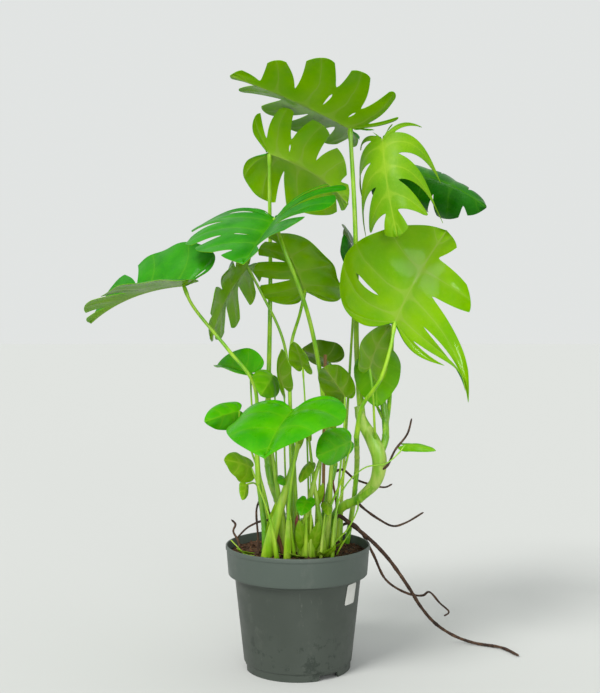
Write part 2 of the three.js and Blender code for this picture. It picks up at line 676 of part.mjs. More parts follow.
function leafSolid(leaf) {
  const { rows, cuts } = { ...(leaf.cuts ? CUT_LEAF : SMALL_LEAF), ...leaf };
  const pattern = bladePattern({ cuts, rows });
  const blade = thickenedSheet(bladeSurface(leaf, pattern), pattern.triangles, BLADE_THICKNESS);
  return solidFrom(blade).add(tubeSolid(stalkOf(leaf)));
}

function stalkOf({ stalk, at, radii, steps }) {
  const sides = radii[0] > THICK_STALK ? 6 : 5;
  return { points: [...stalk, at], radii, sides, steps: steps ?? 2 * stalk.length };
}

// ------------------------------------------------------------------ assembly

// The tube as a solid; extra makes it that much fatter, and longer at both ends.
function tubeSolid({ points, radii, sides = 6, steps = 8 }, extra = 0) {
  const lengthened = (end, inner) => {
    const tip = new THREE.Vector3(...end);
    const outwards = tip.clone().sub(new THREE.Vector3(...inner)).normalize();
    return tip.addScaledVector(outwards, extra).toArray();
  };
  const first = lengthened(points[0], points[1]);
  const last = lengthened(points.at(-1), points.at(-2));
  const through = extra ? [first, ...points.slice(1, -1), last] : points;
  return solidFrom(taperedTube(through, radii.map((radius) => radius + extra), { sides, steps }));
}

// The largest of a solid's bodies, without the slivers that a cut can leave.
function mainBody(solid) {
  const bodies = solid.decompose();
  return bodies.reduce((best, body) => (body.volume() > best.volume() ? body : best));
}

const plant = new THREE.Group();

function addSolid(name, solid, material) {
  const mesh = new THREE.Mesh(geometryFrom(mainBody(solid).simplify(SMALLEST_FEATURE)), material);
  mesh.name = name;
  plant.add(mesh);
}

// Cuts a growing piece back to the surface of the stems that it grows on.
function trimmedBy(solid, stemNames = []) {
  return stemNames.reduce((rest, name) => rest.subtract(tubeSolid(STEMS[name], GAP)), solid);
}

const stake = {
  points: [STAKE.foot, STAKE.top], radii: [STAKE.radius, STAKE.radius], sides: STAKE.sides, steps: 1,
};
const tubes = [
  ...Object.values(STEMS), ...Object.values(DRY_STALKS), ...Object.values(ROOTS),
  ...Object.values(LEAVES).map(stalkOf), stake,
];
const startsInPot = ({ points: [[x, y]] }) => Math.hypot(x, y) < POT.bandFootRadius - POT.wall;
const reachesSoil = ({ points }) => points.some(([, , height]) => height < SOIL.top);
const rooted = tubes.filter((tube) => startsInPot(tube) && reachesSoil(tube));
const soil = rooted.reduce((rest, tube) => rest.subtract(tubeSolid(tube, GAP)), soilSolid());

addSolid('pot', potSolid(), POT_GREY);
addSolid('soil', soil, PEAT);
addSolid('stake', tubeSolid(stake), BAMBOO);
Object.entries(STEMS).forEach(([name, stem]) => {
  addSolid(name, trimmedBy(tubeSolid(stem), stem.on), STEM_GREEN);
});
Object.entries({ ...DRY_STALKS, ...ROOTS }).forEach(([name, root]) => {
  addSolid(name, trimmedBy(tubeSolid(root), root.on), ROOT_BROWN);
});
Object.entries(LEAVES).forEach(([name, leaf]) => {
  addSolid(name, trimmedBy(leafSolid(leaf), leaf.on), leaf.pale ? LEAF_LIME : LEAF_GREEN);
});
addSolid('label', solidFrom(labelGeometry()), LABEL_WHITE);

export default plant;
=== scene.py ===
import math
import random

import bpy
import numpy as np
from mathutils import Matrix, Vector, noise


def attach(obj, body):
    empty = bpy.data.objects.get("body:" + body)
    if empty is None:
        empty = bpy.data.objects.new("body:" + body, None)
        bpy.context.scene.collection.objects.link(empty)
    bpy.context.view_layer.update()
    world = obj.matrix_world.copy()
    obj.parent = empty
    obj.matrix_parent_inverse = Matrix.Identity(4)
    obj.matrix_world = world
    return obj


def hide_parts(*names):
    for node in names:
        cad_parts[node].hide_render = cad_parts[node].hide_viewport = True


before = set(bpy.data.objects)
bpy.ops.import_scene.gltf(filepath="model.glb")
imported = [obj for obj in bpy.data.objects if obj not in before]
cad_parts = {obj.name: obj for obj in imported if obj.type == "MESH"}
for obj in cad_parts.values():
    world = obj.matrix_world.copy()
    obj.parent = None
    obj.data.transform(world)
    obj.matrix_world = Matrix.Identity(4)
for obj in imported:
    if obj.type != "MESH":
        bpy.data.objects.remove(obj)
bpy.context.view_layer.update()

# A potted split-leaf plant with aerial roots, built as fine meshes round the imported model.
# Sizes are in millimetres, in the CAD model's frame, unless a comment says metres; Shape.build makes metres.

MM = 0.001

# Seeds. Leaves, leaflets and roots take their noise this far apart, so that no two are alike.
LEAF_SEED, LEAFLET_SEED, ROOT_SEED, TENDRIL_SEED = 3.7, 2.3, 5.3, 2
STEM_DRAWS, SOIL_DRAWS = 7, 11

# ------------------------------------------------------------------ the plant's dimensions

# Stalks and roots start at this height, hidden in the soil.
ROOTED = 190

# Stems, dry stalks and roots: the points of the centre line, and the radius at its foot and at its end.
STEMS = {
    "left": dict(radii=(9, 8), points=[
        (-20, 22, ROOTED), (-27, 20, 235), (-34, 15, 296), (-51, 15, 351), (-58, 22, 405),
    ]),
    "left_sheath": dict(radii=(7, 4.5), points=[(-60, -34, ROOTED), (-61, -36, 260), (-72, -42, 350)]),
    "trunk": dict(radii=(9.5, 8), points=[
        (60, 52, ROOTED), (63, 48, 250), (80, 38, 288), (118, 22, 312), (146, 8, 345), (152, 0, 388),
        (140, 2, 424), (122, 12, 455),
    ]),
    "trunk_branch": dict(radii=(7, 6), points=[
        (153, 0, 396), (164, 6, 425), (165, 18, 455), (161, 26, 495),
    ]),
    "right": dict(radii=(5, 5), points=[
        (90, 66, ROOTED), (106, 58, 290), (112, 30, 370), (109, -14, 432),
    ]),
    "middle": dict(radii=(7, 6), points=[(40, 14, ROOTED), (52, 20, 290), (70, 24, 375)]),
    "crown": dict(radii=(12, 9), points=[(12, -28, ROOTED), (12, -30, 250), (13, -31, 282)]),
}

DRY_STALKS = {
    "old_petiole": dict(radii=(4, 2.5), points=[
        (-20, -36, ROOTED), (-34, -42, 245), (-47, -52, 280), (-56, -54, 304),
    ]),
    "dry_stalk": dict(radii=(2.6, 1.8), points=[(57, -8, ROOTED), (72, -9, 290), (65, -6, 350)]),
}
TENDRIL = dict(radii=(1.6, 1.2), points=[
    (112, 20, 310), (112, -4, 296), (92, -26, 262), (66, -42, 236), (62, -46, 205),
])

ROOTS = {
    "long": dict(radii=(4, 2.6), points=[
        (68, 44, 268), (80, 16, 278), (98, 8, 266), (124, 12, 245), (146, 22, 224), (172, 35, 194),
        (196, 48, 160), (219, 64, 124), (241, 84, 87), (274, 110, 46), (318, 132, 14), (352, 124, 4.4),
        (400, 96, 4), (425, 46, 3.6),
    ]),
    "over_rim": dict(radii=(3.2, 1.8), points=[
        (66, 98, ROOTED), (84, 101, 242), (106, 94, 250), (122, 93, 236), (148, 100, 188),
        (174, 102, 136), (220, 112, 106), (248, 112, 103), (259, 108, 111), (281, 112, 88),
        (301, 124, 66), (292, 132, 56),
    ]),
    "right_low": dict(radii=(2.8, 1.8), points=[
        (112, 24, 308), (121, 48, 292), (155, 60, 265), (184, 60, 251), (207, 60, 257), (243, 60, 278),
    ]),
    "right_high": dict(radii=(2.6, 1.7), points=[
        (66, 23, 360), (84, 34, 364), (109, 58, 343), (130, 48, 336), (166, 36, 330), (180, 32, 337),
    ]),
    "upward": dict(radii=(2.6, 1.7), points=[
        (150, 4, 366), (165, -12, 376), (181, -12, 407), (204, -6, 436), (213, 0, 465),
    ]),
    "left_hook": dict(radii=(2.8, 1.9), points=[
        (-106, -10, ROOTED), (-111, -8, 235), (-121, 0, 253), (-117, 0, 266), (-125, 0, 275),
    ]),
    "left_rim": dict(radii=(2.4, 1.6), points=[
        (-29, 19, 262), (-60, 8, 272), (-92, 8, 260), (-110, 18, 242), (-118, 24, 232),
    ]),
    "left_down": dict(radii=(2, 2), points=[
        (-68, -39, 322), (-76, -30, 300), (-74, -24, 250), (-72, -22, ROOTED),
    ]),
}

# Leaves. The stalk meets the blade's notch at "at"; "tip" is the blade's far end, and "across" points from
# its first half to its second. "bend" curls the midrib, "fold" lifts each half and "droop" curls it over, in
# degrees; "hang" is how far each half sags. "cuts" names each half's openings from notch to tip, as in CUTS.
LEAVES = {
    "top": dict(
        at=(98, 20, 1008), tip=(-120, -93, 1080), across=(-0.48, 0.87, -0.08), width=264, bend=10,
        fold=(25, 9), droop=(5, 14), cuts=("wwpbdw", "wdwdww"), radii=(6, 4),
        stalk=[(122, 12, 454), (118, 56, 520), (113, 60, 600), (110, 16, 740), (106, 8, 860)],
    ),
    "upper_left": dict(
        at=(-55, 78, 970), tip=(94, 11, 864), across=(0.2, -0.68, 0.71), width=221, bend=53,
        fold=(13, 12), droop=(29, 19), cuts=("..d.s", ".wpds"), radii=(5.5, 3.5),
        stalk=[(-58, 22, 404), (-57, 60, 496), (-55, 106, 640), (-54, 112, 750), (-55, 102, 870)],
    ),
    "hanging_pale": dict(
        at=(155, -30, 979), tip=(178, -90, 795), across=(-0.85, 0.47, -0.26), width=230, bend=24,
        fold=(0, 0), droop=(70, 84), hang=(110, 80), cuts=("xxxxw", "xxxxw"), look="lime", pale=True,
        radii=(4.5, 2.8),
        stalk=[(161, 26, 494), (168, 72, 600), (180, 62, 720), (172, 40, 900)],
    ),
    "glossy_right": dict(
        at=(186, 80, 944), tip=(365, 80, 866), across=(-0.37, -0.43, -0.83), width=245, bend=52,
        fold=(-21, -27), droop=(104, 117), cuts=(".hddd", ".ddds"), look="deep", radii=(4, 2.8),
        stalk=[(164, 10, 440), (176, 60, 490), (186, 104, 620), (192, 100, 800)],
    ),
    "middle_left": dict(
        at=(-43, -30, 834), tip=(-92, -178, 742), across=(-0.88, 0.08, -0.42), width=330, bend=4,
        fold=(22, 32), droop=(34, 40), cuts=("wwddw", "bhsbs"), radii=(5, 3.6),
        stalk=[
            (70, 24, 374), (52, 8, 470), (40, -16, 560), (22, -34, 647), (2, -56, 710), (-26, -64, 780),
        ],
    ),
    "centre": dict(
        at=(14, 35, 705), tip=(-40, -25, 808), across=(-0.88, 0.47, 0.03), width=215, bend=24,
        fold=(11, 23), droop=(54, 44), cuts=(".....", "..dds"), radii=(4.5, 3),
        stalk=[(2, -6, ROOTED), (-8, -10, 400), (-14, -16, 500), (-12, -4, 602), (4, 18, 660)],
    ),
    "hanging_left": dict(
        at=(-98, 76, 752), tip=(-160, -20, 612), across=(0.2, 0.93, -0.3), width=206, bend=26,
        fold=(10, 12), droop=(45, 32), cuts=("dwwds", ".dwds"), radii=(4, 2.6),
        stalk=[(-10, 44, ROOTED), (-14, 54, 400), (-26, 72, 600), (-70, 82, 700)],
    ),
    "far_left": dict(
        at=(-209, -38, 712), tip=(-400, 69, 642), across=(0.28, 0.82, 0.5), width=211, bend=33,
        fold=(37, 27), droop=(10, 10), cuts=("...dd", "h..dd"), radii=(4.2, 3),
        stalk=[(-72, -42, 349), (-76, -36, 430), (-80, -40, 530), (-128, -46, 596), (-193, -44, 677)],
    ),
    "big_right": dict(
        at=(176, -60, 645), tip=(272, -40, 812), across=(-0.86, -0.12, 0.5), width=315, bend=66,
        fold=(6, 12), droop=(112, 62), hang=(200, 0), cuts=(".wwww", "..h.."), radii=(4.2, 3),
        stalk=[(109, -13, 431), (118, -42, 490), (149, -78, 543), (168, -78, 606)],
    ),
    "behind_right": dict(
        at=(112, 60, 752), tip=(96, 165, 807), across=(0.73, 0.4, -0.55), width=135, bend=66,
        fold=(21, 27), droop=(5, 5), cuts=(".dd", ".dd"), look="deep", radii=(3.4, 2.4),
        stalk=[(78, 84, ROOTED), (92, 88, 400), (104, 84, 600), (110, 70, 710)],
    ),
    "olive_right": dict(
        at=(131, -44, 561), tip=(172, -14, 640), across=(-0.65, -0.66, 0.38), width=89, bend=37,
        fold=(5, 5), droop=(17, 19), look="olive", radii=(2.8, 2),
        stalk=[(146, 6, 416), (142, -24, 450), (138, -46, 500), (134, -50, 540)],
    ),
    "lower_right": dict(
        at=(148, 28, 584), tip=(146, -25, 488), across=(-0.98, 0.15, -0.1), width=104, bend=32,
        fold=(-20, -20), droop=(23, 20), look="olive", radii=(2.6, 1.9),
        stalk=[(161, 20, 462), (146, 42, 500), (143, 46, 550), (145, 38, 576)],
    ),
    "front_heart": dict(
        at=(-10, -130, 489), tip=(-54, -246, 420), across=(-0.93, 0.28, -0.24), width=226, bend=26,
        fold=(24, 32), droop=(66, 60), look="bright", radii=(3.4, 2.4),
        stalk=[(-20, -62, ROOTED), (-14, -90, 340), (-2, -108, 430), (-4, -124, 474)],
    ),
    "front_right": dict(
        at=(95, -86, 432), tip=(32, -150, 412), across=(-0.35, 0.06, 0.94), width=89, bend=34,
        fold=(-22, -17), droop=(57, 46), look="bright", radii=(2.7, 2),
        stalk=[(30, -34, ROOTED), (58, -40, 300), (80, -60, 360), (91, -79, 408)],
    ),
    "left_point": dict(
        at=(-106, -60, 484), tip=(-166, -100, 468), across=(-0.36, 0.1, 0.93), width=70, bend=27,
        fold=(-29, -29), droop=(27, 34), look="bright", radii=(2.4, 1.7),
        stalk=[(-36, 0, ROOTED), (-62, -14, 330), (-90, -34, 420), (-106, -56, 468)],
    ),
    "left_upper": dict(
        at=(-88, 12, 549), tip=(-158, 77, 558), across=(0.62, 0.56, 0.55), width=84, bend=22,
        fold=(41, 41), droop=(7, 3), look="bright", radii=(2.6, 1.8),
        stalk=[(-44, 40, ROOTED), (-78, 24, 400), (-88, 14, 510)],
    ),
    "left_small": dict(
        at=(-46, -45, 548), tip=(-66, -98, 514), across=(-0.72, -0.08, 0.69), width=68, bend=32,
        fold=(-16, -18), droop=(27, 34), look="olive", radii=(2.2, 1.6),
        stalk=[(-30, -14, ROOTED), (-40, -28, 400), (-42, -40, 510)],
    ),
    "middle_point": dict(
        at=(-27, -60, 529), tip=(-28, -109, 597), across=(-0.51, -0.69, -0.51), width=49, bend=43,
        fold=(-7, -8), droop=(37, 41), look="olive", radii=(2.2, 1.6),
        stalk=[(-14, -20, ROOTED), (-24, -34, 400), (-24, -52, 500)],
    ),
    "middle_small": dict(
        at=(9, -70, 564), tip=(-6, -112, 610), across=(-0.86, 0.47, 0.21), width=50, bend=10,
        fold=(6, 16), droop=(45, 45), radii=(2.2, 1.5),
        stalk=[(22, -10, ROOTED), (18, -34, 400), (12, -60, 520)],
    ),
    "round_right": dict(
        at=(87, -20, 507), tip=(48, -75, 563), across=(-0.83, 0.03, -0.55), width=75, bend=16,
        fold=(39, 45), droop=(5, 5), look="olive", radii=(2.6, 1.8),
        stalk=[(60, -28, ROOTED), (76, -30, 350), (86, -26, 460)],
    ),
    "middle_dark": dict(
        at=(62, 70, 567), tip=(5, 40, 590), across=(-0.6, 0.6, -0.5), width=80, bend=40, fold=(30, 30),
        droop=(20, 20), look="deep", radii=(2.6, 1.8),
        stalk=[(34, 44, ROOTED), (46, 60, 400), (58, 70, 530)],
    ),
    "left_low": dict(
        at=(-83, -90, 385), tip=(-129, -133, 404), across=(-0.11, 0.49, 0.86), width=63, bend=32,
        fold=(-8, -6), droop=(48, 43), look="lime", pale=True, radii=(2.2, 1.5),
        stalk=[(-34, -66, ROOTED), (-50, -78, 290), (-74, -88, 360)],
    ),
    "left_lowest": dict(
        at=(-93, -72, 352), tip=(-99, -100, 328), across=(-0.83, -0.23, 0.51), width=26, bend=41,
        fold=(-11, -1), droop=(56, 52), look="lime", pale=True, radii=(1.5, 1.2),
        stalk=[(-71, -41, 342), (-80, -56, 352)],
    ),
    "right_narrow": dict(
        at=(199, -20, 417), tip=(252, -50, 410), across=(-0.58, -0.56, -0.59), width=26, bend=31,
        fold=(-4, -7), droop=(58, 47), look="olive", radii=(1.8, 1.2),
        stalk=[
            (62, -58, ROOTED), (68, -56, 290), (86, -50, 344), (124, -34, 377), (163, -28, 384),
            (186, -24, 402),
        ],
    ),
    "centre_low": dict(
        at=(16, -95, 328), tip=(6, -117, 303), across=(-0.96, 0.22, 0.18), width=33, bend=31,
        fold=(14, 3), droop=(20, 24), look="bright", radii=(1.8, 1.3),
        stalk=[(14, -62, ROOTED), (15, -76, 270)],
    ),
    "tiny_left": dict(
        at=(-24, -62, 361), tip=(-36, -84, 357), across=(-0.5, 0.06, 0.86), width=24, bend=38,
        fold=(-6, -14), droop=(41, 33), look="bright", radii=(1.6, 1.2),
        stalk=[(-4, -40, ROOTED), (-16, -54, 310)],
    ),
    "lance": dict(
        at=(22, -56, 388), tip=(4, -100, 359), across=(-0.92, 0.38, 0.12), width=28, bend=36,
        fold=(-20, -9), droop=(60, 56), look="lime", pale=True, radii=(1.6, 1.2),
        stalk=[(22, -62, ROOTED), (24, -58, 320)],
    ),
    "yellowing": dict(
        at=(52, -64, 317), tip=(54, -94, 299), across=(-0.97, -0.18, 0.15), width=24, bend=49,
        fold=(-3, -14), droop=(43, 39), look="lime", pale=True, radii=(1.5, 1.2),
        stalk=[(40, -64, ROOTED), (46, -62, 270)],
    ),
}

# ------------------------------------------------------------------------- mesh helpers


class Shape:
    """Vertices, faces and named vertex values that grow piece by piece into one mesh."""

    def __init__(self):
        self.points, self.faces, self.slots = [], [], []
        self.values = {}
        self.count = 0

    def add(self, points, faces, slots=0, **values):
        """Adds a closed skin; slots is one material slot or one for each face."""
        points = np.asarray(points, float)
        for name in set(self.values) | set(values):
            self.values.setdefault(name, [np.zeros(self.count)])
            self.values[name].append(np.broadcast_to(values.get(name, 0.0), len(points)))
        self.points.append(points)
        self.faces += [[i + self.count for i in face] for face in faces]
        self.slots += np.broadcast_to(slots, len(faces)).tolist()
        self.count += len(points)

    def build(self, name, materials, sharp=50):
        mesh = bpy.data.meshes.new(name)
        mesh.from_pydata((np.vstack(self.points) * MM).tolist(), [], self.faces)
        mesh.validate()
        for material in materials:
            mesh.materials.append(material)
        mesh.polygons.foreach_set("material_index", self.slots)
        mesh.polygons.foreach_set("use_smooth", [True] * len(self.faces))
        for key, parts in self.values.items():
            data = np.concatenate(parts).astype(np.float32)
            mesh.attributes.new(key, "FLOAT", "POINT").data.foreach_set("value", data)
        mesh.set_sharp_from_angle(angle=math.radians(sharp))
        piece = bpy.data.objects.new(name, mesh)
        bpy.context.scene.collection.objects.link(piece)
        return piece


def place(piece, slot, *nodes):
    """The piece rides on the plant's one body and stands for the nodes; slot is not used."""
    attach(piece, "root")
    if nodes:
        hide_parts(*nodes)


def unit(vector):
    return vector / np.maximum(np.linalg.norm(vector, axis=-1, keepdims=True), 1e-12)


def turned(vector, axis, angle):
    """The vector turned about a perpendicular axis; angle may be an array."""
    angle = np.asarray(angle)[..., None]
    return vector * np.cos(angle) + np.cross(axis, vector) * np.sin(angle)


def smooth_step(x, low, high):
    t = np.clip((x - low) / (high - low), 0, 1)
    return t * t * (3 - 2 * t)


def bell(x, width):
    return np.exp(-((x / width) ** 2))


SAMPLES_PER_SPAN, FEWEST_STEPS = 40, 4


def smooth_line(points, spacing):
    """A smooth line through the points (centripetal Catmull-Rom), sampled evenly along its length."""
    p = np.array(points, float)
    p = np.vstack([2 * p[0] - p[1], p, 2 * p[-1] - p[-2]])
    dense = []
    for i in range(1, len(p) - 2):
        p0, p1, p2, p3 = p[i - 1:i + 3]
        t0, t1, t2 = (np.linalg.norm(b - a) ** 0.5 for a, b in ((p0, p1), (p1, p2), (p2, p3)))
        m1 = ((p1 - p0) / t0 - (p2 - p0) / (t0 + t1) + (p2 - p1) / t1) * t1
        m2 = ((p2 - p1) / t1 - (p3 - p1) / (t1 + t2) + (p3 - p2) / t2) * t1
        t = np.linspace(0, 1, SAMPLES_PER_SPAN, endpoint=False)[:, None]
        dense.append((2 * t**3 - 3 * t**2 + 1) * p1 + (t**3 - 2 * t**2 + t) * m1
                     + (3 * t**2 - 2 * t**3) * p2 + (t**3 - t**2) * m2)
    dense = np.vstack(dense + [p[-2:-1]])
    length = np.concatenate([[0], np.cumsum(np.linalg.norm(np.diff(dense, axis=0), axis=1))])
    steps = max(FEWEST_STEPS, round(length[-1] / spacing))
    at = np.linspace(0, length[-1], steps + 1)
    return np.stack([np.interp(at, length, dense[:, k]) for k in range(3)], axis=1), at


def ring_frames(line):
    """Two directions across the line at each point, carried along it without twisting."""
    tangents = unit(np.gradient(line, axis=0))
    first = np.cross(tangents[0], [0.0, 1.0, 0.0])
    if np.linalg.norm(first) < 0.1:
        first = np.cross(tangents[0], [1.0, 0.0, 0.0])
    normals = [unit(first)]
    for tangent in tangents[1:]:
        previous = normals[-1]
        normals.append(unit(previous - tangent * np.dot(previous, tangent)))
    normals = np.array(normals)
    return normals, np.cross(tangents, normals)


def add_rings(shape, rings, start, end, slot=0):
    """A closed skin over a row of rings, from the point start to the point end."""
    rows, sides = rings.shape[:2]
    pairs = [(s, (s + 1) % sides) for s in range(sides)]
    low, high, last = rows * sides, rows * sides + 1, (rows - 1) * sides
    faces = [(r + s, r + t, r + sides + t, r + sides + s) for r in range(0, last, sides) for s, t in pairs]
    faces += [(low, t, s) for s, t in pairs]
    faces += [(high, last + s, last + t) for s, t in pairs]
    shape.add(np.vstack([rings.reshape(-1, 3), start, end]), faces, slot)


def add_tube(shape, points, radius_at, sides, spacing, slot=0):
    """A closed tube along the points; radius_at(distance, total, angle) gives its radius."""
    line, at = smooth_line(points, spacing)
    normals, binormals = ring_frames(line)
    angle = np.linspace(0, 2 * math.pi, sides, endpoint=False)
    radius = radius_at(at[:, None], at[-1], angle[None, :]) + np.zeros((len(at), sides))
    rings = (line[:, None] + normals[:, None] * (radius * np.cos(angle))[..., None]
             + binormals[:, None] * (radius * np.sin(angle))[..., None])
    add_rings(shape, rings, line[0], line[-1], slot)


def surface_normals(points, faces):
    normals = np.zeros_like(points)
    for size in (3, 4):
        group = np.array([face for face in faces if len(face) == size])
        if len(group):
            corner = points[group]
            cross = np.cross(corner[:, 2] - corner[:, 0], corner[:, size - 1] - corner[:, 1])
            for k in range(size):
                np.add.at(normals, group[:, k], cross)
    return unit(normals)


def open_edges(faces):
    edges = {}
    for face in faces:
        for a, b in zip(face, face[1:] + face[:1]):
            if edges.pop((b, a), None) is None:
                edges[a, b] = True
    return list(edges)


def add_sheet(shape, top, bottom, faces, under_slot=0, **values):
    """A closed sheet: the faces over its top points, the same under its bottom, and its margin."""
    count = len(top)
    under = [[i + count for i in face[::-1]] for face in faces]
    margin = [[a, a + count, b + count, b] for a, b in open_edges(faces)]
    slots = [0] * len(faces) + [under_slot] * (len(under) + len(margin))
    both_sides = {name: np.tile(value, 2) for name, value in values.items()}
    shape.add(np.vstack([top, bottom]), faces + under + margin, slots, **both_sides)


# --------------------------------------------------------------------------- leaf blades

# One half of a heart-shaped blade, from the notch at the stalk round to the tip:
# (across, along) as fractions of the half width and of the notch-to-tip length.
HEART_HALF = np.array([
    (0.03, -0.03), (0.30, -0.20), (0.66, -0.20), (0.94, -0.02), (1.00, 0.24),
    (0.88, 0.50), (0.60, 0.75), (0.25, 0.93), (0.00, 1.00),
])
OUTLINE_LENGTH = 3.0  # of the half outline, in half widths

# Openings beside a finger. A slit has its start and its width at the edge, a hole its start, end and
# width: places as fractions of the way out from the midrib, widths as fractions of the outline.
CUTS = {
    "s": dict(slit=(0.55, 0.045)),
    "d": dict(slit=(0.3, 0.06)),
    "w": dict(slit=(0.3, 0.11)),
    "x": dict(slit=(0.25, 0.16)),
    "h": dict(hole=(0.3, 0.7, 0.04)),
    "b": dict(hole=(0.15, 0.4, 0.03), slit=(0.55, 0.06)),
    "p": dict(hole=(0.15, 0.3, 0.03), slit=(0.4, 0.09)),
}
WHOLE_LEAF = ("....", "....")
SLIT_FLARE, EDGE_ROUNDING, ROUNDING_POWER = 0.5, 0.06, 2.5

# Side veins leave the midrib from the notch on; the first third of the outline hangs on the notch itself.
LAST_BASAL_VEIN, VEIN_CROWDING, VEIN_ARCH = 0.34, 1.15, 0.05
COLUMNS = np.array([0, 0.1, 0.22, 0.34, 0.44, 0.5, 0.56, 0.66, 0.78, 0.9, 1])
ROWS_OUT, ROWS_OUT_SMALL = 0.05, 0.1
OUTERMOST_ROWS = [0.97, 0.99, 1.0]


def outline(t):
    """The half outline at fractions 0 to 1 (uniform Catmull-Rom)."""
    last = len(HEART_HALF) - 1
    scaled = np.clip(t, 0, 1) * last
    i = np.minimum(scaled.astype(int), last - 1)
    w = (scaled - i)[..., None]
    p0, p1 = HEART_HALF[np.maximum(i - 1, 0)], HEART_HALF[i]
    p2, p3 = HEART_HALF[i + 1], HEART_HALF[np.minimum(i + 2, last)]
    v0, v1 = (p2 - p0) / 2, (p3 - p1) / 2
    return ((2 * p1 - 2 * p2 + v0 + v1) * w**3 + (-3 * p1 + 3 * p2 - 2 * v0 - v1) * w**2
            + v0 * w + p1)


def opening(letter, out):
    """How wide the cut of this letter is at each fraction of the way out from the midrib."""
    cut = CUTS.get(letter, {})
    width = np.zeros_like(out)
    if "slit" in cut:
        start, widest = cut["slit"]
        width += widest * np.clip((out - start) / (1 - start), 0, 1) ** SLIT_FLARE
    if "hole" in cut:
        start, end, widest = cut["hole"]
        middle, half = (start + end) / 2, (end - start) / 2
        width += widest * np.sqrt(np.clip(1 - ((out - middle) / half) ** 2, 0, 1))
    return width


def finger_grid(low, high, before, after, side, out):
    """One finger between outline fractions low and high, and the cuts before and after it."""
    left, right = (opening(letter, out)[:, None] for letter in (before, after))
    plain = low + COLUMNS * (high - low)
    end = outline(low + left / 2 + COLUMNS * (high - low - left / 2 - right / 2))
    start = np.clip((plain - LAST_BASAL_VEIN) / (1 - LAST_BASAL_VEIN), 0, 1) ** VEIN_CROWDING
    rounding = 0 * COLUMNS
    for letter, sign in ((before, -1), (after, 1)):
        if "slit" in CUTS.get(letter, {}):
            rounding += EDGE_ROUNDING * np.clip(sign * (2 * COLUMNS - 1), 0, 1) ** ROUNDING_POWER
    reach = out[:, None] * (1 - rounding * out[:, None])
    across = side * end[..., 0] * reach
    along = start + (end[..., 1] - start) * reach - VEIN_ARCH * np.sin(math.pi * reach) * end[..., 0]
    gap = np.abs(COLUMNS - 0.5) * (high - low) * OUTLINE_LENGTH * reach
    return across, along, reach, gap


def blade_pattern(cuts, step):
    """The flat pattern as rows of across, along, half, way outwards and gap to the finger's vein."""
    fingers = max(len(cuts[0]), len(cuts[1])) + 1
    out = np.concatenate([np.arange(0, 0.951, step), OUTERMOST_ROWS])
    known, rows, faces = {}, [], []
    for half, side in enumerate((-1, 1)):
        letters = "." + cuts[half].ljust(fingers, ".")
        for finger in range(fingers):
            across, along, reach, gap = finger_grid(
                finger / fingers, (finger + 1) / fingers, letters[finger], letters[finger + 1], side, out)
            numbers = np.empty(across.shape, int)
            for index in np.ndindex(across.shape):
                key = (round(across[index], 5), round(along[index], 5))
                if key not in known:
                    known[key] = len(rows)
                    rows.append((across[index], along[index], half, reach[index], gap[index]))
                numbers[index] = known[key]
            for r, c in np.ndindex(len(out) - 1, len(COLUMNS) - 1):
                quad = [numbers[r, c], numbers[r + 1, c], numbers[r + 1, c + 1], numbers[r, c + 1]]
                faces.append(list(dict.fromkeys(quad if side > 0 else quad[::-1])))
    return np.array(rows), [face for face in faces if len(face) > 2]


# Ripple of the whole blade, weaker on leaves under the full width, and a finer wave along cut edges.
RIPPLE, RIPPLE_FULL_WIDTH, EDGE_WAVE = 3, 110, 1.8
HANG_PEAK, HANG_SLOPE = 0.35, 1.2


def bent_surface(leaf, pattern):
    """The flat pattern bent, folded, curled and hung into the leaf's own shape and place."""
    u, v, half, out = pattern[:, 0], pattern[:, 1], pattern[:, 2].astype(int), np.abs(pattern[:, 0])
    at, tip, width = np.array(leaf["at"], float), np.array(leaf["tip"], float), leaf["width"]
    chord, bend = tip - at, max(math.radians(leaf["bend"]), 1e-3)
    length = np.linalg.norm(chord) * (bend / 2) / math.sin(bend / 2)
    forward = unit(chord)
    right = np.array(leaf["across"], float)
    right = unit(right - forward * np.dot(right, forward))
    up = np.cross(right, forward)
    heading, rise = turned(forward, right, bend / 2), turned(up, right, bend / 2)
    angle = np.maximum(v, 0) * bend
    along = length * np.sin(angle) / bend + np.minimum(v, 0) * length
    midrib = at + heading * along[:, None] - rise * (length * (1 - np.cos(angle)) / bend)[:, None]
    normal = turned(np.broadcast_to(rise, midrib.shape), right, -angle)
    lift = np.radians(leaf["fold"])[half]
    curl = np.maximum(np.radians(leaf["droop"])[half], 1e-3)
    sideways = (np.sin(lift) - np.sin(lift - curl * out)) / curl
    upwards = (np.cos(lift - curl * out) - np.cos(lift)) / curl
    ripple = RIPPLE * min(1, width / RIPPLE_FULL_WIDTH) * out * np.sin(9 * v + 4 * u + width)
    if "cuts" in leaf:
        ripple += EDGE_WAVE * out**2 * np.sin(21 * v - 5 * u + width)
    points = (midrib + right * (np.sign(u) * sideways * width / 2)[:, None]
              + normal * (upwards * width / 2 + ripple)[:, None])
    hang = np.array(leaf.get("hang", (0, 0)))[half]
    points[:, 2] -= hang * out**2 * np.clip(1 - HANG_SLOPE * abs(v - HANG_PEAK), 0, 1)
    return points


# Blade thickness, and the heights of the relief on a leaf whose half width is FULL_RELIEF or more.
BLADE_THICKNESS, FULL_RELIEF = 0.8, 60
PUCKER, PUCKER_WIDTH, DRIFT, DRIFT_SCALE = 2.4, 7, 3.0, 0.012
MIDRIB_GROOVE, MIDRIB_RIDGE, VEIN_GROOVE, VEIN_RIDGE, VEIN_WIDTH = 0.5, 2.0, 0.2, 0.5, 1.2


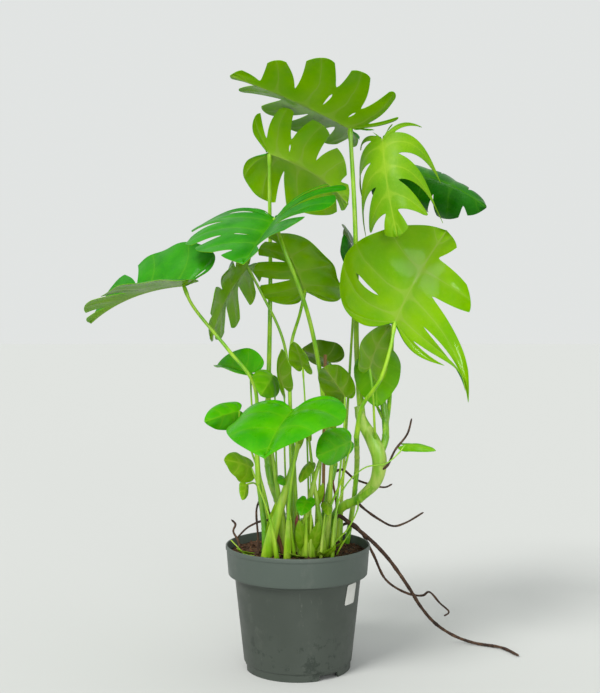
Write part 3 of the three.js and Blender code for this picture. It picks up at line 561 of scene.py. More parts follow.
def add_blade(shape, leaf, seed):
    """The blade as a closed sheet: a grooved, puckered upper side over a ribbed underside."""
    step = ROWS_OUT if "cuts" in leaf else ROWS_OUT_SMALL
    pattern, faces = blade_pattern(leaf.get("cuts", WHOLE_LEAF), step)
    points = bent_surface(leaf, pattern)
    normals = surface_normals(points, faces)
    across, along, _, out, gap = pattern.T
    half_width = leaf["width"] / 2
    rib, vein = np.abs(across) * half_width, gap * half_width
    size = min(1.0, half_width / FULL_RELIEF)
    pucker = PUCKER * size * (1 - bell(vein, PUCKER_WIDTH * size)) * np.sin(math.pi * np.clip(out, 0, 1))
    drift = np.array([noise.noise(Vector(p) * DRIFT_SCALE + Vector((seed, 0, 0))) for p in points])
    points = points + normals * (pucker + DRIFT * size * drift * out)[:, None]
    midrib = bell(rib, 1.6 * size + 0.4) * (1 - 0.75 * np.clip(along, 0, 1))
    side_vein = bell(vein, VEIN_WIDTH) * (1 - 0.6 * out) * smooth_step(rib, 1, 4)
    groove = MIDRIB_GROOVE * size * midrib + VEIN_GROOVE * side_vein
    ridge = MIDRIB_RIDGE * size * midrib + VEIN_RIDGE * size * side_vein
    top = points + normals * (BLADE_THICKNESS / 2 - groove)[:, None]
    bottom = points - normals * (BLADE_THICKNESS / 2 + ridge)[:, None]
    add_sheet(shape, top, bottom, faces, under_slot=1, rib_gap=rib, vein_gap=vein)


# ------------------------------------------------------------------- stalks, stems, roots


def tapered(radii, share):
    return radii[0] + (radii[1] - radii[0]) * share


def leaf_stalk(radii):
    """A leaf stalk: a sheathed foot, a channel along its upper side and a knee at the blade."""
    def radius(distance, total, angle):
        sheath = 0.3 * (1 - smooth_step(distance, 10, 0.3 * total))
        knee = 0.3 * smooth_step(distance, total - 26, total - 16)
        knee = knee * (1 - smooth_step(distance, total - 6, total))
        channel = 0.14 * bell(angle - math.pi, 0.5) * (1 - knee)
        return tapered(radii, distance / total) * (1 + sheath + knee - channel)
    return radius


def jointed_stem(radii, rng):
    """A green stem with the ringed scars that fallen leaves leave."""
    scars, enough = [], 12
    while len(scars) < enough:
        scars.append((scars[-1] if scars else 0) + rng.uniform(24, 44))

    def radius(distance, total, angle):
        ring = sum(bell(distance - scar - 2 * np.cos(angle), 1.8) for scar in scars)
        pinch = sum(bell(distance - scar - 7, 6) for scar in scars)
        oval = 0.03 * np.cos(2 * angle + distance / 40)
        return tapered(radii, distance / total) * (1 + 0.09 * ring - 0.05 * pinch + oval)
    return radius


def corky_root(radii, seed):
    """An aerial root: irregular, with small bark swellings and a rounded tip."""
    def radius(distance, total, angle):
        lumps = np.array([noise.noise(Vector((d * 0.06, seed, 0))) for d in distance[:, 0]])[:, None]
        fine = 0.05 * np.sin(distance * 0.9 + 3 * np.sin(angle * 2 + seed))
        tip = np.sqrt(np.clip((total - distance) / (2 * radii[1]), 0.02, 1))
        return tapered(radii, distance / total) * (1 + 0.25 * lumps + fine) * tip
    return radius


def dry_stump(radii, seed):
    """A dead stalk, shrivelled into ridges and broken off at its end."""
    def radius(distance, total, angle):
        ridges = 0.12 * np.sin(5 * angle + distance * 0.03 + seed)
        return tapered(radii, distance / total) * (1 + ridges + 0.06 * np.sin(distance * 0.35 + seed))
    return radius


CANE = dict(radius=3.1, points=[(45, 30, 60), (48.5, 30, 321.5), (52, 30, 583)], joints=(0.36, 0.71))


def cane_radius(distance, total, angle):
    """A split bamboo cane with swollen joints, each pinched on its upper side."""
    joints = sum(
        0.16 * bell(distance - share * total, 2.2) - 0.07 * bell(distance - share * total - 6, 5)
        for share in CANE["joints"]
    )
    return CANE["radius"] * (1 + joints + 0.03 * np.cos(3 * angle))


# ------------------------------------------------------------------ young growth, crown

# Bracts and leaflets: (at, tip, across, width), as in LEAVES.
LEAFLETS = [
    ((12, -54, 238), (2, -64, 286), (0.9, -0.1, 0.2), 27),
    ((26, -52, 236), (38, -62, 284), (0.88, 0.2, -0.2), 26),
    ((19, -48, 244), (21, -50, 304), (1.0, 0.1, 0.0), 20),
    ((2, -58, 219), (-22, -74, 232), (0.3, -0.9, 0.2), 22),
    ((10, -62, 220), (-2, -82, 226), (1.0, -0.3, 0.1), 20),
    ((-16, -40, 218), (-34, -58, 224), (0.6, -0.7, 0.1), 13),
    ((48, -56, 219), (68, -66, 240), (0.6, 0.5, -0.4), 22),
    ((42, -58, 220), (38, -78, 232), (0.9, 0.4, -0.1), 18),
    ((-86, -38, 220), (-112, -52, 232), (0.4, -0.8, 0.3), 11),
    ((66, -8, 224), (84, -22, 240), (0.4, 0.7, -0.3), 14),
    ((-52, -44, 262), (-40, -60, 318), (0.95, 0.1, -0.2), 15),
    ((34, -34, 312), (46, -52, 352), (0.9, 0.2, -0.2), 17),
    ((2, -58, 423), (10, -64, 466), (0.9, 0.3, 0.1), 15),
    ((58, -48, 439), (72, -46, 476), (0.8, 0.4, -0.3), 13),
    ((20, -50, 435), (16, -56, 470), (0.9, -0.3, 0.1), 12),
    ((-50, -42, 429), (-60, -40, 464), (0.8, 0.5, 0.2), 13),
]
LEAFLET_POSE = dict(bend=30, fold=(24, 18), droop=(30, 44))
# Sheaths and runners: (points, radius at the foot, radius at the end).
SHEATHS = [
    ([(20, -50, 209), (19, -51, 236), (19, -51, 258)], 11.5, 7),
    ([(-58, -48, 209), (-44, -54, 268), (-22, -58, 340), (2, -58, 424)], 9.5, 3.8),
    ([(6, -44, 209), (16, -50, 290), (34, -54, 372), (58, -48, 440)], 5.5, 2.4),
    ([(50, -38, 209), (42, -46, 270), (30, -50, 350), (20, -50, 436)], 4.6, 2.2),
    ([(-22, -30, 209), (-32, -36, 300), (-42, -40, 372), (-50, -42, 430)], 6.0, 2.4),
    ([(50, -20, 209), (58, -26, 300), (64, -30, 396), (78, -34, 446)], 5.2, 2.6),
    ([(0, -30, 209), (0, -31, 246), (-1, -33, 266)], 1.6, 1.3),
    ([(-74, -36, 213), (-96, -44, 219), (-112, -50, 236), (-122, -52, 247)], 1.5, 1.0),
    ([(34, -34, 209), (33, -35, 262), (34, -34, 314)], 2.0, 1.4),
    ([(70, -30, 209), (76, -44, 228), (96, -50, 262)], 1.4, 1.0),
]
BUD = [(-1, -33, 262), (-2, -34, 274), (-1, -35, 290)]
TRUNK_SLEEVE = [
    (120, 21.5, 314), (146, 8, 345), (152.5, 0, 388), (140, 2, 424), (122, 12, 456), (112, 18, 486),
]
# The sleeve round a rooted stalk's foot: between these heights, this much thicker than the stalk.
SLEEVE_FOOT, SLEEVE_TOP, SLEEVE_GROWTH = 208, 294, (1.75, 1.15)


def sleeve(foot, end):
    """A leafy sleeve: bulging above its foot, then closing on the stalk it wraps."""
    def radius(distance, total, angle):
        along = distance / total
        bulge = 1 + 0.12 * np.sin(math.pi * along)
        keel = 1 + 0.16 * np.cos(2 * angle) * (1 - along)
        return tapered((foot, end), smooth_step(along, 0, 1)) * bulge * keel
    return radius


def trunk_sheath(distance, total, angle):
    """The sheath that clasps the trunk: widest in the middle, flattened, closing at both ends."""
    along = distance / total
    swell = 8.2 + 4.6 * np.sin(math.pi * along) ** 1.5
    return swell * (1 + 0.1 * np.cos(2 * angle)) * (1 - 0.3 * smooth_step(along, 0.9, 1))


def bud_radius(distance, total, angle):
    return 0.4 + 3.2 * np.sin(math.pi * distance / total) ** 0.8


def crown_shape():
    """Bracts, leaflets and sheaths on the soil, and a sleeve round the foot of each rooted stalk."""
    shape, sheath_slot = Shape(), 2
    for seed, (at, tip, across, width) in enumerate(LEAFLETS):
        add_blade(shape, dict(LEAFLET_POSE, at=at, tip=tip, across=across, width=width), seed * LEAFLET_SEED)
    for points, foot, end in SHEATHS:
        add_tube(shape, points, sleeve(foot, end), sides=20, spacing=3, slot=sheath_slot)
    for leaf in LEAVES.values():
        if leaf["stalk"][0][2] == ROOTED:
            line, _ = smooth_line(leaf["stalk"] + [leaf["at"]], 6)
            covered = [p for p in line if SLEEVE_FOOT < p[2] < SLEEVE_TOP]
            foot, end = (growth * leaf["radii"][0] for growth in SLEEVE_GROWTH)
            add_tube(shape, covered, sleeve(foot, end), sides=18, spacing=3, slot=sheath_slot)
    return shape


# ------------------------------------------------------------------------- pot and label

POT = dict(height=230, rim=135, band=54, band_foot=130, body_top=118, body_foot=101, foot=15,
           inset=2.5, wall=2.2, floor=8, pad=24, foot_ring=4)
NOTCHES, NOTCH_HEIGHT, NOTCH_HALF_WIDTH = (-55, 65, 185), 11, 20
POT_SEGMENTS = 240
CORNER_RADIUS, CORNER_STEPS = 1.2, 3


def rounded(profile):
    """The profile with its corners rounded off, where there is room."""
    points = [np.array(p, float) for p in profile]
    made = [points[0]]
    for before, corner, after in zip(points, points[1:], points[2:]):
        a, b = before - corner, after - corner
        reach = min(CORNER_RADIUS, 0.45 * np.linalg.norm(a), 0.45 * np.linalg.norm(b))
        start, end = corner + unit(a) * reach, corner + unit(b) * reach
        for t in np.arange(CORNER_STEPS + 1) / CORNER_STEPS:
            made.append((1 - t) ** 2 * start + 2 * t * (1 - t) * corner + t**2 * end)
    return np.array(made + [points[-1]])


def pot_shape():
    """The pot turned round its axis, with drainage notches lifted out of the foot ring."""
    top, rim, floor, wall = (POT[key] for key in ("height", "rim", "floor", "wall"))
    band_foot, foot, floor_top = top - POT["band"], POT["body_foot"] - POT["inset"], floor + wall
    ring_inside = foot - POT["foot_ring"]
    profile = rounded([
        (0, 0), (POT["pad"], 0), (POT["pad"], floor), (ring_inside - 1, floor),
        (ring_inside, 0), (foot, 0), (foot + 0.5, POT["foot"] - 1), (POT["body_foot"], POT["foot"]),
        (POT["body_top"], band_foot - 5), (POT["body_top"] + 2, band_foot - 3),
        (POT["band_foot"], band_foot), (rim - 1.5, top - 9), (rim, top - 7), (rim, top - 1),
        (rim - 1, top), (rim - 3.2, top), (POT["band_foot"] - wall, band_foot + 1),
        (POT["body_top"] - wall, band_foot - 3), (POT["body_foot"] - wall, floor_top),
        (0, floor_top),
    ])
    rings = np.empty((len(profile) - 2, POT_SEGMENTS, 3))
    for s in range(POT_SEGMENTS):
        turn = 2 * math.pi * s / POT_SEGMENTS
        off = min(abs((math.degrees(turn) - notch + 180) % 360 - 180) for notch in NOTCHES)
        in_notch = math.radians(off) * foot < NOTCH_HALF_WIDTH
        for ring, (radius, height) in zip(rings, profile[1:-1]):
            lifted = in_notch and radius > ring_inside - 0.9 and height < floor
            z = NOTCH_HEIGHT if lifted else height
            ring[s] = radius * math.cos(turn), radius * math.sin(turn), z
    shape = Shape()
    add_rings(shape, rings, (0, 0, 0), (0, 0, floor_top))
    return shape


LABEL = dict(width=30, top=170, height=37, thickness=0.4, gap=0.5, angle=-34, tilt=2, corner=2.5,
             steps=24)


def label_shape():
    """A bare label with rounded corners, bent round the wall just under the band."""
    steps, corner = LABEL["steps"], LABEL["corner"]
    wall_top = POT["height"] - POT["band"] - 5
    surface = []
    for down in np.arange(steps + 1) / steps:
        height = LABEL["top"] - down * LABEL["height"]
        up = (height - POT["foot"]) / (wall_top - POT["foot"])
        radius = tapered((POT["body_foot"], POT["body_top"]), up) + LABEL["gap"] + LABEL["thickness"] / 2
        edge = min(down, 1 - down) * LABEL["height"]
        trim = corner - math.sqrt(max(corner**2 - max(corner - edge, 0) ** 2, 0))
        for across in np.arange(steps + 1) / steps - 0.5:
            turn = math.radians(LABEL["angle"] + LABEL["tilt"] * (0.5 - down))
            turn += across * (LABEL["width"] - 2 * trim) / radius
            surface.append((radius * math.cos(turn), radius * math.sin(turn), height))
    corners = [r * (steps + 1) + c for r, c in np.ndindex(steps, steps)]
    faces = [[a, a + steps + 1, a + steps + 2, a + 1] for a in corners]
    surface, shape = np.array(surface), Shape()
    offset = surface_normals(surface, faces) * LABEL["thickness"] / 2
    add_sheet(shape, surface + offset, surface - offset, faces)
    return shape


# ---------------------------------------------------------------------------------- soil

SOIL = dict(top=214, wall_gap=2.9, rim=204, segments=150, rings=52, crumbs=1500, fibres=70)


def soil_height(x, y):
    """A low mound round the crown, with broad waves and clods."""
    spread = math.hypot(x, y)
    crown = 3 * (1 - smooth_step(spread, 40, 124))
    broad = 1.75 * (math.sin(x / 13 + 1) * math.cos(y / 11) + 0.6 * math.sin(x / 7 + y / 9))
    clods = 2.2 * noise.fractal(Vector((x, y, 0)) * 0.06, 0.7, 2.1, 4)
    edge = smooth_step(spread, 126, 110)
    return SOIL["top"] + crown + float(edge) * broad + clods


def soil_shape():
    """A closed bed of soil: a clodded top over a skirt that follows the pot's inside."""
    band_foot, gap, outermost = POT["height"] - POT["band"], SOIL["wall_gap"], POT["band_foot"] - 0.6
    skirt = [
        (outermost - 0.6, SOIL["rim"]), (POT["band_foot"] - gap, band_foot + 1.4),
        (POT["body_top"] - gap, band_foot - 3), (POT["body_foot"] - gap, POT["floor"] + 2.8),
    ]
    rows = [(outermost * r / SOIL["rings"], None) for r in range(1, SOIL["rings"] + 1)] + skirt
    rings = np.empty((len(rows), SOIL["segments"], 3))
    for s in range(SOIL["segments"]):
        turn = -2 * math.pi * s / SOIL["segments"]
        for ring, (radius, height) in zip(rings, rows):
            x, y = radius * math.cos(turn), radius * math.sin(turn)
            ring[s] = x, y, soil_height(x, y) if height is None else height
    shape = Shape()
    add_rings(shape, rings, (0, 0, soil_height(0, 0)), (0, 0, skirt[-1][1]))
    return shape


# Loose things lie within these distances of the middle; no crumb sticks out past the last.
FIBRE_REACH, FIBRE_LIMIT, CRUMB_REACH, SOIL_REACH = 112, 124, 126, 128
FIBRE_STEPS, FIBRE_PACE, BARK_EVERY = 6, 4.5, 9
CRUMB = np.array([
    (0, 0, 1), (0.9, 0, 0.2), (0.2, 0.9, 0.1), (-0.8, 0.4, 0.2), (-0.6, -0.7, 0.1), (0.4, -0.8, 0.2),
    (0, 0, -0.8),
])
CRUMB_FACES = [(0, k, k % 5 + 1) for k in range(1, 6)] + [(6, k % 5 + 1, k) for k in range(1, 6)]


def random_turn(rng, tilt):
    """A random rotation: any way round, and up to tilt radians from level."""
    axis = Vector((rng.gauss(0, 1), rng.gauss(0, 1), 0)).normalized()
    return np.array(Matrix.Rotation(rng.uniform(0, tilt), 3, axis)
                    @ Matrix.Rotation(rng.uniform(0, 2 * math.pi), 3, "Z"))


def random_place(rng, reach):
    """A random place on the soil, up to this far from the middle: (x, y)."""
    spread, turn = reach * math.sqrt(rng.random()), rng.uniform(0, 2 * math.pi)
    return spread * math.cos(turn), spread * math.sin(turn)


def crumbs_shape(rng):
    """Loose crumbs and, for every ninth, a flat bark chip, lying on the soil."""
    shape = Shape()
    for k in range(SOIL["crumbs"]):
        bark = k % BARK_EVERY == 0
        x, y = random_place(rng, CRUMB_REACH)
        size = rng.uniform(3, 6.5) if bark else rng.uniform(0.9, 2.6)
        scale = np.array((rng.uniform(1, 2), rng.uniform(0.6, 1), 0.3 if bark else rng.uniform(0.5, 1)))
        body = CRUMB * [rng.uniform(0.75, 1.25) for _ in range(3)]
        body = (body * scale * size) @ random_turn(rng, 0.5 if bark else 1.2).T
        limit = SOIL_REACH - np.abs(body[:, :2]).max()
        x, y = np.array((x, y)) * min(1, limit / max(math.hypot(x, y), 1))
        body += (x, y, soil_height(x, y) + 0.35 * size * scale[2])
        shape.add(body, CRUMB_FACES, int(bark))
    return shape


def fibres_shape(rng):
    """Thin coir fibres and rootlets lying on the soil."""
    shape = Shape()
    for _ in range(SOIL["fibres"]):
        x, y = random_place(rng, FIBRE_REACH)
        heading, line = rng.uniform(0, 2 * math.pi), []
        for _ in range(FIBRE_STEPS):
            line.append((x, y, soil_height(x, y) + rng.uniform(0.8, 2.6)))
            heading += rng.uniform(-0.6, 0.6)
            x, y = x + FIBRE_PACE * math.cos(heading), y + FIBRE_PACE * math.sin(heading)
            if math.hypot(x, y) > FIBRE_LIMIT:
                break
        if len(line) > 3:
            thick = rng.uniform(0.25, 0.6)
            add_tube(shape, line, lambda d, total, a: thick * (1 - 0.5 * d / total), sides=6, spacing=2.5)
    return shape


# ----------------------------------------------------------------------------- finishes

DEPTH = 0.62  # how dark a surface is made, so that it looks right under the bright key light


def colour(red, green, blue):
    """A surface that looks like this 0 to 255 colour under the studio's bright key light."""
    linear = [((c / 255 + 0.055) / 1.055) ** 2.4 if c > 10 else c / 255 / 12.92 for c in (red, green, blue)]
    return (*(DEPTH * c for c in linear), 1.0)


class Finish:
    """A material whose nodes are added one call at a time."""

    def __init__(self, name, **sockets):
        self.material = bpy.data.materials.new(name)
        self.material.use_nodes = True
        self.tree = self.material.node_tree
        self.shader = self.tree.nodes["Principled BSDF"]
        self.set(**sockets)

    def set(self, **sockets):
        """Gives the shader's sockets, named with _ for a space, a value or another node's output."""
        for socket, value in sockets.items():
            self.feed(self.shader.inputs[socket.replace("_", " ")], value)

    def feed(self, socket, value):
        if isinstance(value, bpy.types.NodeSocket):
            self.tree.links.new(value, socket)
        else:
            socket.default_value = value

    def node(self, kind, inputs, **settings):
        made = self.tree.nodes.new("ShaderNode" + kind)
        for name, value in settings.items():
            setattr(made, name, value)
        for key, value in inputs.items():
            self.feed(made.inputs[key], value)
        return made

    def cloud(self, scale, detail=4.0, stretch=(1, 1, 1), rough=0.55):
        place = self.node("TexCoord", {}).outputs["Object"]
        moved = self.node("Mapping", {"Vector": place, "Scale": stretch}).outputs[0]
        inputs = {"Vector": moved, "Scale": scale, "Detail": detail, "Roughness": rough}
        return self.node("TexNoise", inputs).outputs[0]

    def value(self, name):
        return self.node("Attribute", {}, attribute_name=name).outputs["Fac"]

    def ramp(self, value, low, high, to_low=0.0, to_high=1.0):
        inputs = {0: value, 1: low, 2: high, 3: to_low, 4: to_high}
        return self.node("MapRange", inputs, interpolation_type="SMOOTHSTEP").outputs[0]

    def maths(self, operation, a, b):
        return self.node("Math", {0: a, 1: b}, operation=operation).outputs[0]

    def mix(self, factor, a, b):
        return self.node("Mix", {0: factor, 6: a, 7: b}, data_type="RGBA").outputs[2]

    def bump(self, height, strength, distance):
        inputs = {"Height": height, "Strength": strength, "Distance": distance}
        self.set(Normal=self.node("Bump", inputs).outputs[0])

    def see_through(self, share, tint):
        """Lets some light through the blade."""
        leaf_light = self.node("BsdfTranslucent", {"Color": tint}).outputs[0]
        both = self.node("MixShader", {0: share, 1: self.shader.outputs[0], 2: leaf_light})
        self.feed(self.tree.nodes["Material Output"].inputs["Surface"], both.outputs[0])


# Each side of a blade: its shine, how much light comes through, and how strongly its veins show.
UPPER_SIDE = dict(shine=0.14, through=0.15, marked=0.55)
UNDERSIDE = dict(shine=0.2, through=0.42, marked=1.0, roughness=0.1)
# name: (upper tone, its deep tone, its veins), (the same for the underside), upper roughness
COMMON_UNDERSIDE = ((180, 246, 0), (152, 232, 0), (206, 244, 96))
LEAF_LOOKS = {
    "fresh": (((60, 178, 0), (30, 146, 0), (118, 206, 22)), COMMON_UNDERSIDE, 0.34),
    "bright": (((98, 210, 0), (60, 184, 0), (146, 222, 30)), COMMON_UNDERSIDE, 0.3),
    "deep": (((38, 136, 0), (18, 102, 0), (90, 168, 24)),
             ((136, 190, 8), (106, 168, 4), (180, 216, 96)), 0.26),
    "lime": (((142, 200, 2), (116, 186, 0), (196, 232, 66)),
             ((170, 224, 4), (144, 208, 2), (216, 238, 110)), 0.4),
    "olive": (((122, 202, 2), (94, 178, 0), (160, 216, 44)),
              ((166, 234, 2), (138, 212, 0), (206, 236, 100)), 0.38),
}


def leaf_side(name, tones, roughness, shine, through, marked):
    """One side of a blade: mottled green with paler veins and fine puckering."""
    fresh, deep, vein = (colour(*tone) for tone in tones)
    finish = Finish(name, Specular_IOR_Level=shine)
    mottle = finish.ramp(finish.cloud(16, 5), 0.3, 0.7)
    green = finish.mix(mottle, deep, fresh)
    rib_gap, vein_gap = finish.value("rib_gap"), finish.value("vein_gap")
    halo = finish.ramp(vein_gap, 0.0, 7.0, 0.2 * marked, 0.0)
    green = finish.mix(halo, green, vein)
    fine = finish.cloud(150, 3, rough=0.7)
    green = finish.mix(finish.ramp(fine, 0.45, 0.75, 0.0, 0.12), green, vein)
    rib_line = finish.ramp(rib_gap, 0.5, 2.0, 0.8 * marked, 0.0)
    vein_line = finish.ramp(vein_gap, 0.2, 0.8, 0.5 * marked, 0.0)
    green = finish.mix(finish.maths("MAXIMUM", rib_line, vein_line), green, vein)
    gloss = finish.ramp(finish.cloud(45, 3), 0.3, 0.7, roughness - 0.05, roughness + 0.08)
    finish.set(Base_Color=green, Roughness=gloss)
    relief = finish.maths("ADD", finish.cloud(120, 4), finish.maths("MULTIPLY", finish.cloud(700, 2), 0.25))
    finish.bump(relief, 0.35, 0.0012)
    finish.see_through(through, green)
    return finish.material


def leaf_materials():
    """The upper side and the underside of each look."""
    return {
        look: (leaf_side("leaf_upper_" + look, upper, roughness, **UPPER_SIDE),
               leaf_side("leaf_under_" + look, under, **UNDERSIDE))
        for look, (upper, under, roughness) in LEAF_LOOKS.items()
    }


def stalk_finish(name, light, dark, scar):
    """Smooth green stalk skin with lengthwise streaks and a few pale specks."""
    finish = Finish(name, Specular_IOR_Level=0.45)
    streaks = finish.ramp(finish.cloud(90, 4, (1, 1, 0.12)), 0.35, 0.68)
    skin = finish.mix(streaks, colour(*dark), colour(*light))
    patches = finish.ramp(finish.cloud(22, 3), 0.5, 0.72, 0.0, 0.5)
    skin = finish.mix(patches, skin, colour(*scar))
    specks = finish.ramp(finish.cloud(520, 2), 0.68, 0.74, 0.0, 0.45)
    finish.set(Base_Color=finish.mix(specks, skin, colour(*scar)),
               Roughness=finish.ramp(streaks, 0.0, 1.0, 0.34, 0.5))
    finish.bump(finish.cloud(240, 3, (1, 1, 0.1)), 0.3, 0.0008)
    return finish.material


def dull_finish(name, dark, light, scale, relief, stretch=(1, 1, 1), roughness=0.85, speck=None):
    """Bark, soil and cane: two tones broken up at two scales over a rough relief."""
    finish = Finish(name, Specular_IOR_Level=0.25)
    broad = finish.ramp(finish.cloud(scale, 6, stretch, 0.65), 0.36, 0.66)
    skin = finish.mix(broad, colour(*dark), colour(*light))
    if speck:
        spots = finish.ramp(finish.cloud(scale * 3.1, 2, stretch), 0.62, 0.7, 0.0, 0.75)
        skin = finish.mix(spots, skin, colour(*speck))
    finish.set(Base_Color=skin, Roughness=finish.ramp(broad, 0.0, 1.0, roughness - 0.1, roughness + 0.08))
    finish.bump(finish.cloud(scale * 1.7, 8, stretch, 0.7), 0.7, relief)
    return finish.material


# Heights in metres: where the pot's wall, darkened below the band by painted shade, turns into its band, and
# where its grime fades out.
BAND_EDGE, GRIME_EDGE = (0.168, 0.182), (0.11, 0.05)


def pot_finish():
    """Grey-green moulded plastic with pale scuffs, splashes of dried water and a fine grain, and painted
    shade on the wall below the band.
    """
    finish = Finish("pot_plastic", Specular_IOR_Level=0.4)
    place_on_pot = finish.node("TexCoord", {}).outputs["Object"]
    height = finish.node("SeparateXYZ", {0: place_on_pot}).outputs[2]
    # Painted shade: the wall below the band takes a darker tone than the band, as if the band shaded it.
    band = finish.ramp(height, *BAND_EDGE)
    painted_shade_tone = finish.mix(finish.ramp(finish.cloud(7, 3), 0.35, 0.65), colour(70, 78, 70), colour(78, 86, 78))
    body = finish.mix(band, painted_shade_tone, colour(88, 100, 92))
    grime = finish.maths("MULTIPLY", finish.ramp(finish.cloud(26, 9, (1, 1, 1), 0.75), 0.53, 0.6),
                         finish.ramp(height, *GRIME_EDGE, 0.0, 0.7))
    body = finish.mix(grime, body, colour(44, 54, 46))
    dust = finish.ramp(finish.cloud(24, 7, (1, 1, 0.6), 0.7), 0.56, 0.74, 0.0, 0.22)
    body = finish.mix(dust, body, colour(138, 142, 132))
    scuffs = finish.ramp(finish.cloud(85, 5, (1, 1, 0.25), 0.75), 0.66, 0.72, 0.0, 0.3)
    finish.set(Base_Color=finish.mix(scuffs, body, colour(158, 162, 154)),
               Roughness=finish.ramp(finish.cloud(30, 5), 0.3, 0.7, 0.42, 0.56))
    finish.bump(finish.cloud(1400, 2), 0.12, 0.0003)
    return finish.material


def paper_finish():
    """The bare label's matt off-white paper."""
    finish = Finish("label_paper", Specular_IOR_Level=0.35)
    blotches = finish.ramp(finish.cloud(60, 4), 0.3, 0.7)
    finish.set(Base_Color=finish.mix(blotches, colour(228, 228, 222), colour(238, 238, 232)),
               Roughness=finish.ramp(finish.cloud(200, 2), 0.3, 0.7, 0.45, 0.6))
    finish.bump(finish.cloud(900, 2), 0.1, 0.0002)
    return finish.material


# ----------------------------------------------------------------------- the whole plant

THICK_STALK = 3  # a leaf stalk with a larger radius at its foot gets more sides


def build_leaf(name, leaf, blade_skins, stalk_skin, seed):
    """One leaf on its stalk, with skins for the blade's two sides and for the stalk."""
    shape = Shape()
    add_blade(shape, leaf, seed)
    sides = 20 if leaf["radii"][0] > THICK_STALK else 12
    add_tube(shape, leaf["stalk"] + [leaf["at"]], leaf_stalk(leaf["radii"]), sides, spacing=3.5, slot=2)
    piece = shape.build("foliage_" + name, [*blade_skins, stalk_skin])
    place(piece, "leaf_pale" if leaf.get("pale") else "leaf_green", "leaf_" + name)


def build_tube(name, points, radius, material, slot, sides, spacing, nodes=()):
    shape = Shape()
    add_tube(shape, points, radius, sides, spacing)
    place(shape.build(name, [material]), slot, *nodes)


def build_plant():
    rng = random.Random(STEM_DRAWS)
    leaf_sides = leaf_materials()
    skin = stalk_finish("stalk_skin", (184, 234, 40), (130, 204, 12), (204, 232, 96))
    stem_skin = stalk_finish("stem_skin", (164, 220, 44), (98, 176, 12), (196, 216, 104))
    sheath_skin = stalk_finish("sheath_skin", (196, 236, 62), (142, 204, 20), (216, 232, 116))
    sleeve_skin = stalk_finish("sleeve_skin", (194, 226, 100), (140, 198, 40), (220, 230, 150))
    bark = dull_finish("root_bark", (52, 38, 30), (104, 78, 60), 60, 0.0012, (1, 1, 0.5),
                       speck=(140, 110, 84))
    dry = dull_finish("dry_skin", (104, 64, 40), (158, 110, 72), 70, 0.0008, (1, 1, 0.2))
    bud_skin = dull_finish("bud_skin", (176, 84, 76), (206, 130, 104), 120, 0.0006, (1, 1, 0.3), 0.5)
    cane_skin = dull_finish("cane_skin", (150, 108, 60), (196, 152, 96), 90, 0.0006, (1, 1, 0.06), 0.55,
                            (116, 78, 44))
    for seed, (name, leaf) in enumerate(LEAVES.items()):
        build_leaf(name, leaf, leaf_sides[leaf.get("look", "fresh")], skin, seed * LEAF_SEED)
    for name, stem in STEMS.items():
        build_tube("trunk_" + name, stem["points"], jointed_stem(stem["radii"], rng), stem_skin,
                   "stem_green", sides=32, spacing=1.5, nodes=["stem_" + name])
    for seed, (name, root) in enumerate(ROOTS.items()):
        build_tube("aerial_" + name, root["points"], corky_root(root["radii"], seed * ROOT_SEED), bark,
                   "root_brown", sides=14, spacing=2, nodes=["root_" + name])
    for seed, (name, stalk) in enumerate(DRY_STALKS.items()):
        build_tube(name + "_skin", stalk["points"], dry_stump(stalk["radii"], seed), dry,
                   "root_brown", sides=20, spacing=2, nodes=[name])
    place(crown_shape().build("crown_growth", [*leaf_sides["lime"], sheath_skin]), "leaf_pale")
    build_tube("trunk_sleeve", TRUNK_SLEEVE, trunk_sheath, sleeve_skin, "stem_green", sides=40, spacing=2)
    build_tube("pink_bud", BUD, bud_radius, bud_skin, "leaf_pale", sides=16, spacing=1.5)
    build_tube("tendril_skin", TENDRIL["points"], corky_root(TENDRIL["radii"], TENDRIL_SEED), skin,
               "stem_green", sides=10, spacing=2, nodes=["tendril"])
    build_tube("cane", CANE["points"], cane_radius, cane_skin, "bamboo", sides=24, spacing=1.5,
               nodes=["stake"])


def build_pot_and_soil():
    rng = random.Random(SOIL_DRAWS)
    place(pot_shape().build("pot_shell", [pot_finish()], sharp=40), "pot_grey", "pot")
    place(label_shape().build("bare_label", [paper_finish()], sharp=60), "label_white", "label")
    peat = dull_finish("peat", (50, 34, 24), (108, 76, 52), 110, 0.004, roughness=0.92, speck=(142, 106, 74))
    chips = dull_finish("bark_chips", (84, 52, 34), (140, 96, 62), 160, 0.002)
    straw = dull_finish("fibres", (120, 86, 56), (178, 140, 98), 200, 0.0005)
    place(soil_shape().build("soil_bed", [peat], sharp=60), "peat", "soil")
    place(crumbs_shape(rng).build("soil_crumbs", [peat, chips], sharp=20), "peat")
    place(fibres_shape(rng).build("soil_fibres", [straw], sharp=60), "peat")


# ------------------------------------------------------------------------- studio, camera

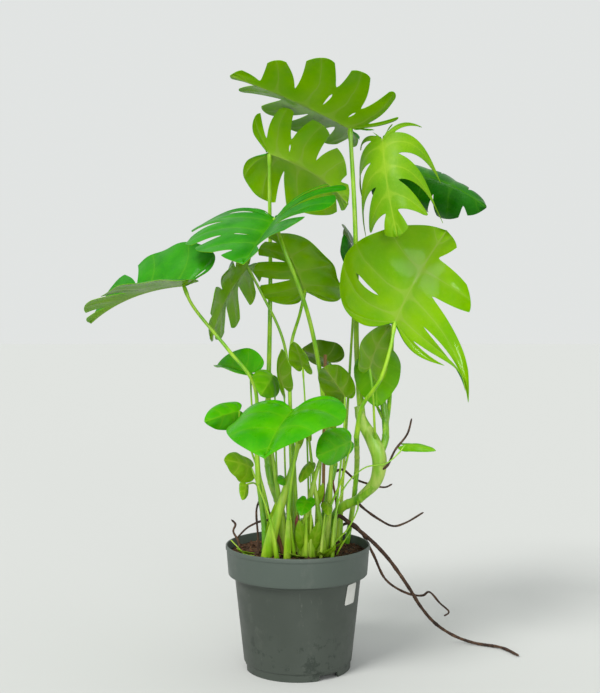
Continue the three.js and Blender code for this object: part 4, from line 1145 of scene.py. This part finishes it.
# In metres and degrees. The camera stands where the photograph was taken from.
FLOOR_REACH, FLOOR_TONE = 30, (0.545, 0.555, 0.545, 1)
SKY_TONE, SKY_STRENGTH = (0.78, 0.80, 0.79, 1), 0.97
CAMERA_AT, CAMERA_DIP, SENSOR_WIDTH, LENS = (0.004, -1.978, 0.644), 1.3, 36, 55.06


def soft_sun(name, towards, strength, spread, tone):
    """Even light over the whole set, so that the floor meets the backdrop without an edge."""
    data = bpy.data.lights.new(name, "SUN")
    data.angle, data.energy, data.color = math.radians(spread), strength, tone
    light = bpy.data.objects.new(name, data)
    light.location = -2 * Vector(towards)
    light.rotation_euler = Vector(towards).to_track_quat("-Z", "Y").to_euler()
    bpy.context.scene.collection.objects.link(light)


def build_studio():
    scene = bpy.context.scene
    mesh = bpy.data.meshes.new("studio_floor")
    corners = [(-1, -1), (1, -1), (1, 1), (-1, 1)]
    mesh.from_pydata([(FLOOR_REACH * x, FLOOR_REACH * y, 0) for x, y in corners], [], [(0, 1, 2, 3)])
    floor = bpy.data.objects.new("studio_floor", mesh)
    scene.collection.objects.link(floor)
    paint = Finish("floor_paint", Base_Color=FLOOR_TONE, Roughness=1.0, Specular_IOR_Level=0.0)
    mesh.materials.append(paint.material)
    world = bpy.data.worlds.new("studio")
    world.use_nodes = True
    sky = world.node_tree.nodes["Background"]
    sky.inputs["Color"].default_value = SKY_TONE
    sky.inputs["Strength"].default_value = SKY_STRENGTH
    scene.world = world
    soft_sun("key", (0.45, 0.55, -0.75), strength=2.4, spread=22, tone=(1.0, 0.99, 0.96))
    soft_sun("fill", (-0.15, 1.0, 0.06), strength=3.2, spread=50, tone=(0.98, 1.0, 0.98))
    camera = bpy.data.cameras.new("camera")
    camera.sensor_width, camera.lens = SENSOR_WIDTH, LENS
    eye = bpy.data.objects.new("camera", camera)
    eye.location = CAMERA_AT
    eye.rotation_euler = (math.radians(90 - CAMERA_DIP), 0, 0)
    scene.collection.objects.link(eye)
    scene.camera = eye
    scene.view_settings.view_transform = "Standard"
    scene.view_settings.look = "None"


build_studio()
build_pot_and_soil()
build_plant()
